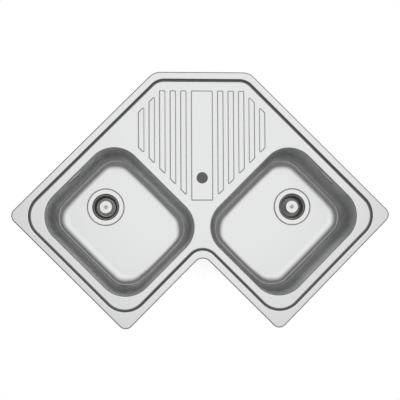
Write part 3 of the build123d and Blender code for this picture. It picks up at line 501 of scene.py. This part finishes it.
def moulded_plastic(look):
    """Moulded polypropylene: off-white, softly lit through, with a fine spark-eroded skin."""
    f = Finish("moulded_plastic", look.plastic, 0.0, 0.42)
    f.shader.inputs["Subsurface Weight"].default_value = 0.12
    f.shader.inputs["Subsurface Scale"].default_value = 0.004
    skin = f.noise(f.place(), 1500.0, 2.0)
    cloud = f.noise(f.place(), 30.0, 2.0)
    f.tint(f.spread(cloud, 0.0, 1.0), shaded(look.plastic, 0.95), look.plastic)
    f.rough(f.spread(skin, 0.36, 0.5))
    f.relief(skin, 0.00003, 0.5)
    return f.material


def hose_plastic(look):
    """Blown hose: greyer than the mouldings, with fine lines along it that vary in gloss."""
    f = Finish("hose_plastic", (0.66, 0.66, 0.64), 0.0, 0.38)
    f.shader.inputs["Subsurface Weight"].default_value = 0.1
    f.shader.inputs["Subsurface Scale"].default_value = 0.003
    lines = f.noise(f.place((900, 30, 1), mapped=True), 1.0, 2.0)
    f.tint(f.spread(lines, 0.0, 1.0), (0.58, 0.58, 0.56), (0.7, 0.7, 0.68))
    f.rough(f.spread(lines, 0.32, 0.46))
    f.relief(lines, 0.00003, 0.4)
    return f.material


FINISHES = {
    "deck_steel": satin_deck,
    "bowl_steel": drawn_bowl,
    "polished_steel": polished_steel,
    "plated_steel": zinc_plate,
    "black_rubber": black_rubber,
    "rim_foam": foam_strip,
    "damping_pad": damping_sheet,
    "white_plastic": moulded_plastic,
    "hose_plastic": hose_plastic,
}


def finish_for(slot, look, maker=None):
    """The finish of a material slot, or another one that is named, made once."""
    maker = maker or FINISHES[slot]
    return bpy.data.materials.get(maker.__name__) or maker(look)


# ---------------------------------------------------------------- what a user may change
def number(name, description, default, low, high, **kind):
    """A number between two limits, with its unit or subtype where it has one."""
    return bpy.props.FloatProperty(
        name=name, description=description, default=default, min=low, max=high, **kind
    )


def length(name, description, default, low, high):
    """A length in metres."""
    return number(name, description, default, low, high, precision=5, unit="LENGTH")


def angle(name, description, default, low, high):
    """An angle, given here in degrees."""
    limits = radians(default), radians(low), radians(high)
    return number(name, description, *limits, subtype="ANGLE")


def colour(name, description, default):
    """A colour in linear light."""
    return bpy.props.FloatVectorProperty(
        name=name, description=description, default=default, min=0.0, max=1.0, subtype="COLOR"
    )


class SinkDeckSizes(bpy.types.PropertyGroup):
    edge_radius: length("Edge radius", "Rolled outer edge of the rim", 0.005, 0.002, 0.006)
    edge_nose: length("Edge nose", "Bend where the rolled edge turns down", 0.0012, 0.0011, 0.002)
    step_run: length("Step width", "Width of the sloping step inside the rim", 0.009, 0.003, 0.012)
    step_top: length("Step top bend", "Bend at the top of the step", 0.006, 0.0012, 0.008)
    step_foot: length("Step foot bend", "Hollow bend at the foot of the step", 0.003, 0.0012, 0.006)
    flute_width: length("Flute width", "Width of one pressed flute", 0.0183, 0.01, 0.025)
    flute_pitch: length("Flute pitch", "Middle of one flute to the next", 0.0323, 0.026, 0.034)
    flute_crown: length("Flute bend", "Bend along the top edge of a flute", 0.0028, 0.0011, 0.003)
    flute_foot: length("Flute foot", "Hollow bend at the foot of a flute", 0.0042, 0.0005, 0.0045)
    flute_slope: angle("Flute slope", "Slope of a flute's side", 38, 30, 50)
    panel_width: length("Panel width", "Width of the middle panel", 0.066, 0.05, 0.08)
    tap_hole: length("Tap hole", "Diameter of the tap hole", 0.035, 0.03, 0.04)


class SinkBowlSizes(bpy.types.PropertyGroup):
    depth: length("Depth", "Deck to the bowl's floor", 0.150, 0.1, 0.2)
    lip_radius: length("Lip radius", "Rounded lip round the bowl's mouth", 0.005, 0.002, 0.008)
    foot_radius: length("Foot radius", "Hollow bend between wall and floor", 0.042, 0.01, 0.05)
    line_tilt: angle("Press line", "Tilt of the foot where the press line lies", 38, 15, 70)
    line_width: length("Line width", "Width of the press line's ledge", 0.0011, 0.0002, 0.002)
    draft: angle("Draft", "Lean of the bowl's walls", degrees(BOWL_DRAFT), 0, 8)


class SinkHoseSizes(bpy.types.PropertyGroup):
    ribs: bpy.props.IntProperty(
        name="Ribs", description="Ribs along one hose", default=31, min=10, max=60
    )
    crest: length("Crest", "Outer diameter over the ribs", 0.026, 0.022, 0.026)
    root: length("Root", "Diameter between the ribs", 0.023, 0.0215, 0.025)
    bore: length("Bore", "Inside diameter", 0.020, 0.015, 0.021)


class SinkLook(bpy.types.PropertyGroup):
    steel: colour("Steel", "Colour of the stainless steel", (0.84, 0.845, 0.845))
    satin: number("Satin", "Roughness of the satin steel", 0.24, 0.05, 0.6)
    # The baskets' colour is half as bright as the steel: painted shade in the drain.
    basket: colour("Basket", "Colour of the strainer baskets", (0.42, 0.42, 0.415))
    plastic: colour("Plastic", "Colour of the waste and overflow mouldings", (0.80, 0.80, 0.78))


class SinkStudio(bpy.types.PropertyGroup):
    floor: colour("Floor", "Colour of the studio floor", (0.93, 0.93, 0.93))
    light: number("Light", "Brightness of the soft light all round", 1.0, 0.0, 4.0)
    flag_shade: number("Flag shade", "Brightness of the dark cloth in the steel", 0.09, 0.0, 2.0)
    strip_shade: number("Strip shade", "Brightness of the low strip in the cloth", 0.25, 0.0, 2.0)
    low_shade: number("Low shade", "Brightness of the cloth below the strip", 0.17, 0.0, 2.0)
    opening: angle("Opening", "Half width of the opening overhead", 16, 5, 60)


# ---------------------------------------------------------------- the deck
PLAN_STEPS, HOLE_STEPS = 24, 40  # round a corner of the rim or step, and of a bowl's hole
TAP_SIDES = 96


def plan_corners(wall, end, front, cut):
    """The seven corners of the sink's plan, counter-clockwise, with each side drawn in."""
    blunt = (CORNER_CUT / 2 + cut) * sqrt(2) - wall
    far, near = WALL_LENGTH - end, ARM_DEPTH - front
    left = in_sink([(blunt, wall, 0), (far, wall, 0), (far, near, 0), (near, near, 0)], -1)[:, :2]
    return np.concatenate([left, left[2::-1] * (-1, 1)])


def flute_corners(place, width):
    """A flute's four corners. Its front end runs along the bowl. Its back end is level with the
    panel's, or runs along the wall where the wall line comes before that."""
    wall_line = CORNER_Y - FLUTE_WALL_LINE * sqrt(2)
    bowl_line = BOWL_MIDDLE[0] - BOWL_LENGTH / 2 - BOWL_EDGE - FLUTE_BOWL_GAP
    front_line = CORNER_Y - bowl_line * sqrt(2)
    low, high, back = place - width / 2, place + width / 2, PANEL_BACK
    square = wall_line - low > back
    ends = (back, back) if square else (wall_line - high, wall_line - low)
    return [(low, front_line + low), (high, front_line + high), (high, ends[0]), (low, ends[1])]


def mouth_loop(inset, steps, shares=()):
    """Outline of a bowl's mouth in the arm's frame, drawn in by the inset."""
    a, b = BOWL_LENGTH / 2, BOWL_WIDTH / 2
    corners = np.array([(-a, -b), (a, -b), (a, b), (-a, b)]) + BOWL_MIDDLE
    points, normals = rounded_outline(corners, [BOWL_CORNER] * 4, steps, shares)
    return points + inset * normals, normals


class SINK_OT_deck(bpy.types.Operator):
    """Press the deck sheet: rolled rim, step, flutes, panel, and its three holes"""

    bl_idname = "sink.deck"
    bl_label = "Deck"

    def execute(self, context):
        sizes = context.scene.sink_deck
        skin = Skin()
        rim, rim_in = rounded_outline(plan_corners(0, 0, 0, 0), RIM_CORNERS, PLAN_STEPS)
        step_plan = plan_corners(*STEP_INSETS)
        step, step_in = rounded_outline(step_plan, STEP_CORNERS, PLAN_STEPS)
        edge, nose, turn = sizes.edge_radius, sizes.edge_nose, radians(EDGE_TURN)
        tight = (nose, RIM_TOP - edge + (edge - nose) * cos(turn))
        wide = (nose + (edge - nose) * sin(turn), RIM_TOP - edge)
        rolled = np.vstack(
            [
                [(0, SEAT, -1, 0)],
                bend(-90, -EDGE_TURN, nose, tight, 5),
                bend(-EDGE_TURN, 0, edge, wide, 8),
            ]
        )
        slope = degrees(np.arctan2(RIM_TOP - DECK_TOP, sizes.step_run))
        start, lean = STEP_FOOT - sizes.step_run, tan(radians(slope / 2))
        high = (start - sizes.step_top * lean, RIM_TOP - sizes.step_top)
        low = (STEP_FOOT + sizes.step_foot * lean, DECK_TOP + sizes.step_foot)
        top = bend(0, slope, sizes.step_top, high, 10)
        foot = bend(slope, 0, -sizes.step_foot, low, 8)
        outer = carried(rim, rim_in, rolled)
        inner = carried(step, step_in, np.vstack([top, foot]))
        points, normals = (np.concatenate(pair) for pair in zip(outer, inner))
        skin.grid(points, normals)

        mouth = np.insert(mouth_loop(-BOWL_EDGE, HOLE_STEPS)[0], 2, 0, 1)
        holes = [in_sink(mouth, side)[:, :2] for side in SIDES.values()]
        height, crown, hollow = FLUTE_RISE, sizes.flute_crown, sizes.flute_foot
        slope, lean = degrees(sizes.flute_slope), tan(sizes.flute_slope / 2)
        over = height / tan(sizes.flute_slope) + crown * lean
        rise = np.vstack(
            [
                bend(0, -slope, -hollow, (-hollow * lean, hollow), 6),
                bend(-slope, 0, crown, (over, height - crown), 6),
            ]
        )
        ring = np.linspace(0, 2 * pi, TAP_SIDES, endpoint=False)
        tap = np.stack([np.cos(ring), np.sin(ring)], 1) * sizes.tap_hole / 2
        half, front, back = sizes.panel_width / 2, -PANEL_FRONT, PANEL_BACK
        forms = [[(-half, front), (half, front), (half, back), (-half, back)]]
        for count in range(FLUTE_COUNT):
            middle = half + PANEL_GAP + sizes.flute_width / 2 + count * sizes.flute_pitch
            forms.append(flute_corners(middle, sizes.flute_width))
        for order, corners in enumerate(forms):  # the panel, then pairs of flutes
            loop, inward = rounded_outline(corners, [FLUTE_CORNER] * 4, 8)
            raised, lean = carried(loop, inward, rise)
            for mirror in ((1, 1, 1), (-1, 1, 1)) if order else ((1, 1, 1),):
                skin.grid(raised * mirror, lean * mirror)
                holes.append((raised * mirror)[0, :, :2])
                skin.fill((raised * mirror)[-1, :, :2], [] if order else [tap], height)
        skin.fill(points[-1, :, :2], holes, DECK_TOP)
        skin.thicken(SHEET)
        finish = finish_for("deck_steel", context.scene.sink_look)
        skin.piece("deck", "sink", "deck_steel", finish, ["deck_sheet"])
        return {"FINISHED"}


# ---------------------------------------------------------------- the bowls
FOOT_SHARES = (1.24, 1.05, 1.31, 1.12, 1.33, 0.78, 1.14, 0.93)  # corner, side, corner and so on
FOOT_ROWS = 13  # on each side of the press line
LEDGE_TILT = radians(8)
SMOOTH_REACH = 11  # points on each side that a foot radius is smoothed over
MOUTH_STEPS, WALL_STEPS = 36, 37  # round a corner, and along a side


def foot_radii(radius, arc, straight):
    """Foot radius at each point round the mouth: eight shares of the named radius, held along each
    side's middle and reached at each corner's, joined by straight runs and then smoothed."""
    period = arc + straight
    at, share = [], []
    for corner in range(4):
        start = corner * period
        at += [start + arc / 2, start + arc + straight * 0.2, start + arc + straight * 0.8]
        share += [FOOT_SHARES[2 * corner], *[FOOT_SHARES[2 * corner + 1]] * 2]
    values = np.interp(np.arange(4 * period), at, share, period=4 * period) * radius
    wide = np.hanning(2 * SMOOTH_REACH + 1)
    padded = np.concatenate([values[-SMOOTH_REACH:], values, values[:SMOOTH_REACH]])
    return np.convolve(padded, wide / wide.sum(), "valid")


def bowl_profile(sizes, levels, radii):
    """From the deck down: lip, leaning wall, the foot down to the press line, the line's narrow
    ledge, and the rest of the foot. Rows are the same round the mouth down to the foot, whose
    radius differs from point to point. The last axis is inset, height and the normal's parts."""
    wall = 90 - degrees(sizes.draft)
    lip, depth, lean = sizes.lip_radius, sizes.depth, tan(sizes.draft)
    rows = [[(-BOWL_EDGE, 0, 0, 1)], bend(0, wall, lip, (-lip * tan(radians(wall / 2)), -lip), 12)]
    rows.append([(-z * lean, z, sin(radians(wall)), cos(radians(wall))) for z in levels])
    upper = np.repeat(np.vstack(rows)[:, None], len(radii), 1)
    inset, height = depth * lean + radii * tan(radians(wall / 2)), radii - depth
    line, ledge = degrees(sizes.line_tilt), sizes.line_width
    parts = np.linspace(wall, line, FOOT_ROWS), np.linspace(line, 0, FOOT_ROWS)
    angle = np.radians(np.concatenate(parts))[:, None]
    shift = np.repeat([0.0, ledge], FOOT_ROWS)[:, None]
    foot = np.stack(
        [
            inset + shift - radii * np.sin(angle),
            height - radii * np.cos(angle),
            np.sin(angle) + 0 * radii,
            np.cos(angle) + 0 * radii,
        ],
        -1,
    )
    along = np.array([[[ledge * 0.2, 0, 0, 0]], [[ledge * 0.8, 0, 0, 0]]])
    flat = foot[[FOOT_ROWS - 1] * 2] + along
    flat[..., 2:] = sin(LEDGE_TILT), cos(LEDGE_TILT)
    return np.concatenate([upper, foot[:FOOT_ROWS], flat, foot[FOOT_ROWS:]])


class SINK_OT_bowls(bpy.types.Operator):
    """Draw both bowls: rounded lip, leaning walls, hollow foot, flat floor and sunk drain seat"""

    bl_idname = "sink.bowls"
    bl_label = "Bowls"

    def execute(self, context):
        sizes = context.scene.sink_bowl
        depth, half_height = sizes.depth, OVERFLOW_HEIGHT / 2 * cos(sizes.draft)
        hole_low, hole_high = -OVERFLOW_DROP - half_height, -OVERFLOW_DROP + half_height
        levels = [-0.013, hole_high, hole_low, -0.055, -0.075, -0.090]  # rows down the wall
        straight = BOWL_LENGTH - 2 * BOWL_CORNER
        half_cut = OVERFLOW_LENGTH / 2 / straight
        cut = (0.5 - half_cut, 0.5 + half_cut)
        shares = np.concatenate([np.linspace(0, 1, WALL_STEPS + 1)[1:-1], cut])
        shares = np.unique(shares.round(9))
        radii = foot_radii(sizes.foot_radius, MOUTH_STEPS + 1, len(shares))
        profile = bowl_profile(sizes, levels, radii)
        outline, inward = mouth_loop(0.0, MOUTH_STEPS, shares)
        points, normals = carried(outline, inward, profile)

        drain = np.array([BOWL_MIDDLE[0], BOWL_MIDDLE[1] - DRAIN_OFFSET])
        ring = points[-1, :, :2] - drain
        angle = np.arctan2(ring[:, 1], ring[:, 0])
        soft, seat = RECESS_BEND, -depth - RECESS_DEPTH
        reach = soft * tan(radians(45 / 2))
        sides = np.vstack(
            [
                bend(0, -45, soft, (RECESS_TOP + reach, -depth - soft), 5),
                bend(-45, 0, -soft, (RECESS_FLOOR - reach, seat + soft), 5),
                [(DRAIN_RADIUS, seat, 0, 1)],
            ]
        )
        recess, recess_normals = turned(sides, angle, drain)
        share = np.linspace(0, 1, 9)[:, None, None]
        floor = points[-1][None] * (1 - share) + recess[0][None] * share
        flat = np.zeros_like(floor) + (0.0, 0.0, 1.0)
        points = np.concatenate([points, floor[1:-1], recess])
        normals = np.concatenate([normals, flat[1:-1], recess_normals])

        leave = np.zeros((len(points) - 1, len(outline)), bool)
        row = np.flatnonzero(np.isclose(profile[:, 0, 1], hole_high))[0]
        between = (shares > cut[0] - 1e-6) & (shares < cut[1] + 1e-6)
        leave[row, MOUTH_STEPS + 1 + np.flatnonzero(between)[:-1]] = True
        for side_name, side in SIDES.items():
            skin = Skin()
            skin.grid(in_sink(points, side), turned_into_sink(normals, side), leave)
            skin.thicken(SHEET)
            name = f"{side_name}_bowl"
            finish = finish_for("bowl_steel", context.scene.sink_look)
            skin.piece(f"{side_name}_drawn_bowl", "sink", "bowl_steel", finish, [name])
        return {"FINISHED"}


# ---------------------------------------------------------------- the overflow hoses
HOSE_SIDES, RIB_ROWS = 40, 10
RIB_FULLNESS = 0.65  # power of the wave: under 1, its crests are fuller than its grooves


def hose_line(distance, top, drop, radius, middle):
    """Down from the elbow, a quarter turn, then level to the waste body: v, z and the angle."""
    quarter = radius * pi / 2
    angle = np.clip((distance - drop) / radius, 0, pi / 2)
    level = np.clip(distance - drop - quarter, 0, None)
    fall = np.clip(distance, None, drop)
    v = middle + radius * (1 - np.cos(angle)) + level
    z = top - fall - radius * np.sin(angle)
    return v, z, angle


class SINK_OT_hoses(bpy.types.Operator):
    """Blow both overflow hoses: ribs between two plain cuffs, with a smooth bore"""

    bl_idname = "sink.hoses"
    bl_label = "Overflow hoses"

    def execute(self, context):
        sizes = context.scene.sink_hose
        cuff, radius, crest = HOSE_CUFF, HOSE_BEND, sizes.crest / 2
        drop = HOSE_TOP - HOSE_LEVEL - radius
        whole = drop + radius * pi / 2 + cuff
        wall = BOWL_MIDDLE[1] - BOWL_WIDTH / 2 + OVERFLOW_DROP * tan(BOWL_DRAFT)
        spout = wall - OVERFLOW_BACKING - ELBOW_DEPTH / 2
        ribbed = whole - 2 * cuff
        middle = np.linspace(cuff, whole - cuff, sizes.ribs * RIB_ROWS + 1)
        wave = 0.5 - 0.5 * np.cos((middle - cuff) / ribbed * sizes.ribs * 2 * pi)
        thin = sizes.root / 2 + (sizes.crest - sizes.root) / 2 * wave**RIB_FULLNESS
        # A cuff has an eased end, a plain length and an eased edge before its first rib.
        ends = np.array([0, 0.0006, cuff - 0.0022, cuff - 0.0010])
        end_radius = crest - np.array([0.0005, 0, 0, 0.0004])
        distance = np.concatenate([ends, middle, whole - ends[::-1]])
        reach = np.concatenate([end_radius, thin, end_radius[::-1]])
        slope = np.gradient(reach, distance)

        ring = np.linspace(0, 2 * pi, HOSE_SIDES + 1)[None, :-1]
        line = hose_line(distance, HOSE_TOP, drop, radius, spout)
        v, z, tilt = (a[:, None] for a in line)
        zero = np.zeros_like(v * ring)
        across = [zero + np.cos(ring), -np.cos(tilt) * np.sin(ring), -np.sin(tilt) * np.sin(ring)]
        across = np.stack(across, -1)
        along = np.stack([zero, np.sin(tilt) + zero, -np.cos(tilt) + zero], -1)
        centre = np.stack([zero + BOWL_MIDDLE[0], v + zero, z + zero], -1)
        outer = centre + reach[:, None, None] * across
        inner = centre + sizes.bore / 2 * across
        lean = across - slope[:, None, None] * along
        for side_name, side in SIDES.items():
            skin = Skin()
            skin.grid(in_sink(outer, side), turned_into_sink(lean, side))
            skin.grid(in_sink(inner, side), turned_into_sink(-across, side))
            for end, way in ((0, -1), (-1, 1)):
                lid, facing = np.stack([outer[end], inner[end]]), np.stack([along[end] * way] * 2)
                skin.grid(in_sink(lid, side), turned_into_sink(facing, side))
            finish = finish_for("hose_plastic", context.scene.sink_look)
            name = f"{side_name}_overflow_hose"
            skin.piece(f"{side_name}_ribbed_hose", "sink", "hose_plastic", finish, [name])
        return {"FINISHED"}


# ---------------------------------------------------------------- carried-over pieces
class SINK_OT_finishes(bpy.types.Operator):
    """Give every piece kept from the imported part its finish"""

    bl_idname = "sink.finishes"
    bl_label = "Finishes"

    def execute(self, context):
        look = context.scene.sink_look
        for node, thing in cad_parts.items():
            maker = brushed_basket if node.endswith("_basket") else None
            for slot in thing.material_slots:
                name = slot.material.name.split(".")[0]
                if name in FINISHES:
                    slot.material = finish_for(name, look, maker)
        return {"FINISHED"}


# ---------------------------------------------------------------- the studio
FLOOR_RINGS, FLOOR_SIDES = (0.5, 2.0, 8.0, 60.0), 64  # radii in metres
SKY_REACH = 0.36  # from how far off the sink shades the floor
SKY_SHARES = (0.28, 0.42)  # shares of open sky between which the shade ends
SHADE_REACH, SHADE_DEPTH = (0.03, 0.25), 0.28  # painted shadow: darker floor paint under the tap hole
FADE = 31  # degrees over which the opening overhead fades into the dark cloth
FLOOR_LINE_SHADE = 0.03  # brightness of the cloth at the floor
DOME_ROWS, DOME_SIDES = 61, 128


def cloth_dome(opening, reach, radius, axis):
    """Part of a ball: rows run from one angle off the leaning axis, evenly in angle, to another off
    the upright, and columns run round. Returns the points and each one's angle off the axis."""
    axis = np.array(axis) / np.linalg.norm(axis)
    side = np.cross(axis, (0, 1, 0))
    side /= np.linalg.norm(side)
    ring = np.linspace(0, 2 * pi, DOME_SIDES + 1)[:-1, None]
    round_axis = np.cos(ring) * side + np.sin(ring) * np.cross(axis, side)
    first = np.cos(opening) * axis + np.sin(opening) * round_axis
    level = first * (1, 1, 0)
    level /= np.linalg.norm(level, axis=1, keepdims=True)
    last = sin(reach) * level + (0, 0, cos(reach))
    share = np.linspace(0, 1, DOME_ROWS)[:, None, None]
    apart = np.arccos((first * last).sum(1))[:, None]
    points = (np.sin((1 - share) * apart) * first + np.sin(share * apart) * last) / np.sin(apart)
    return points * radius, np.arccos(np.clip(points @ axis, -1, 1))


class SINK_OT_studio(bpy.types.Operator):
    """Set up the camera, a pale floor at the sink's lowest point, soft light and dark cloth"""

    bl_idname = "sink.studio"
    bl_label = "Studio"

    def execute(self, context):
        studio, scene = context.scene.sink_studio, context.scene
        scene.view_settings.view_transform = "Standard"

        camera = bpy.data.objects.new("camera", bpy.data.cameras.new("camera"))
        camera.data.sensor_width, camera.data.lens = 36.0, CAMERA_LENS
        camera.data.clip_start, camera.data.clip_end = 0.05, 200.0
        camera.location = CAMERA_PLACE
        camera.rotation_euler = [radians(turn) for turn in CAMERA_TURN]
        scene.collection.objects.link(camera)
        scene.camera = camera

        low = CAD_BOX[0].z
        mesh = bpy.data.meshes.new("floor")
        ring = np.linspace(0, 2 * pi, FLOOR_SIDES + 1)[:-1]
        reach = np.array(FLOOR_RINGS)[:, None]
        points = [reach * np.cos(ring), reach * np.sin(ring), low + 0 * reach * ring]
        points = np.stack(points, -1).reshape(-1, 3).tolist()
        cells = [*ring_cells(len(FLOOR_RINGS), FLOOR_SIDES), list(range(FLOOR_SIDES))]
        mesh.from_pydata(points, [], cells)
        floor = bpy.data.objects.new("floor", mesh)
        scene.collection.objects.link(floor)
        paint = Finish("studio_floor", studio.floor, 0.0, 0.9)
        paint.shader.inputs["Specular IOR Level"].default_value = 0.1
        sky = paint.node("ShaderNodeAmbientOcclusion", {"Distance": SKY_REACH}, samples=16)
        place = paint.node("ShaderNodeTexCoord").outputs["Object"]
        apart = {0: place, 1: (0, 0, low)}
        away = paint.node("ShaderNodeVectorMath", apart, operation="DISTANCE").outputs["Value"]
        away = paint.spread(away, 0.0, 1.0, *SHADE_REACH)
        away.node.interpolation_type = "SMOOTHSTEP"
        # Painted shadow: the floor's colour darkens towards the spot under the tap hole.
        paint.tint(away, shaded(studio.floor, SHADE_DEPTH), studio.floor)
        # Where the floor is seen or mirrored it glows white, apart from where the sink shades it.
        ray = paint.node("ShaderNodeLightPath").outputs
        seen = paint.sum("ADD", ray["Is Camera Ray"], ray["Is Glossy Ray"])
        seen = paint.sum("ADD", seen, ray["Is Transmission Ray"])
        bare = paint.spread(sky.outputs["AO"], 0.0, 1.0, *SKY_SHARES)
        share = paint.sum("MULTIPLY", seen, paint.sum("MULTIPLY", away, bare))
        glow = paint.node("ShaderNodeEmission", {"Color": (1, 1, 1, 1), "Strength": 1.0})
        both = {0: share, 1: paint.shader.outputs[0], 2: glow.outputs[0]}
        mix = paint.node("ShaderNodeMixShader", both)
        paint.tree.links.new(mix.outputs[0], paint.tree.nodes["Material Output"].inputs[0])
        mesh.materials.append(paint.material)

        world = bpy.data.worlds.new("studio")
        scene.world = world
        world.use_nodes = True
        world.node_tree.nodes["Background"].inputs[0].default_value = (*[studio.light] * 3, 1)

        dome, off = cloth_dome(studio.opening, DOME_REACH, DOME_RADIUS, DOME_AXIS)
        # Brightness of the cloth at each angle off the dome's axis, in degrees.
        bands = [
            (degrees(studio.opening), studio.light),
            (degrees(studio.opening) + FADE, studio.flag_shade),
            (50, studio.flag_shade),
            (56, studio.strip_shade),
            (64, studio.strip_shade),
            (69, studio.low_shade),
            (85, studio.low_shade),
            (91, FLOOR_LINE_SHADE),
        ]
        shade = np.interp(np.degrees(off), *np.transpose(bands))
        mesh = bpy.data.meshes.new("flags")
        mesh.from_pydata(dome.reshape(-1, 3).tolist(), [], ring_cells(*off.shape))
        mesh.attributes.new("shade", "FLOAT", "POINT").data.foreach_set("value", shade.ravel())
        flags = bpy.data.objects.new("flags", mesh)
        scene.collection.objects.link(flags)
        for ray in ("camera", "diffuse", "transmission", "volume_scatter", "shadow"):
            setattr(flags, "visible_" + ray, False)
        cloth = Finish("flags", (0, 0, 0), 0.0, 1.0)
        level = cloth.node("ShaderNodeAttribute", attribute_name="shade").outputs["Fac"]
        glow = cloth.node("ShaderNodeEmission", {"Strength": level})
        cloth.tree.links.new(glow.outputs[0], cloth.tree.nodes["Material Output"].inputs[0])
        cloth.tree.nodes.remove(cloth.shader)
        mesh.materials.append(cloth.material)
        return {"FINISHED"}


# ---------------------------------------------------------------- the panel
PIECES = (SINK_OT_deck, SINK_OT_bowls, SINK_OT_hoses, SINK_OT_finishes, SINK_OT_studio)
GROUPS = {
    "sink_deck": SinkDeckSizes,
    "sink_bowl": SinkBowlSizes,
    "sink_hose": SinkHoseSizes,
    "sink_look": SinkLook,
    "sink_studio": SinkStudio,
}


class SINK_PT_panel(bpy.types.Panel):
    """Lists the sizes, the colours and the pieces"""

    bl_idname = "SINK_PT_panel"
    bl_label = "Corner sink"
    bl_space_type = "VIEW_3D"
    bl_region_type = "UI"
    bl_category = "Sink"

    def draw(self, context):
        for name, group in GROUPS.items():
            box = self.layout.box()
            settings = getattr(context.scene, name)
            for key in group.__annotations__:
                box.prop(settings, key)
        for piece in PIECES:
            self.layout.operator(piece.bl_idname)


def register():
    for group in (*GROUPS.values(), *PIECES, SINK_PT_panel):
        bpy.utils.register_class(group)
    for name, group in GROUPS.items():
        setattr(bpy.types.Scene, name, bpy.props.PointerProperty(type=group))


def unregister():
    for name in GROUPS:
        delattr(bpy.types.Scene, name)
    for group in reversed((*GROUPS.values(), *PIECES, SINK_PT_panel)):
        bpy.utils.unregister_class(group)


def main():
    register()
    bpy.ops.sink.studio()
    bpy.ops.sink.finishes()
    bpy.ops.sink.deck()
    bpy.ops.sink.bowls()
    bpy.ops.sink.hoses()


if __name__ == "__main__":
    main()
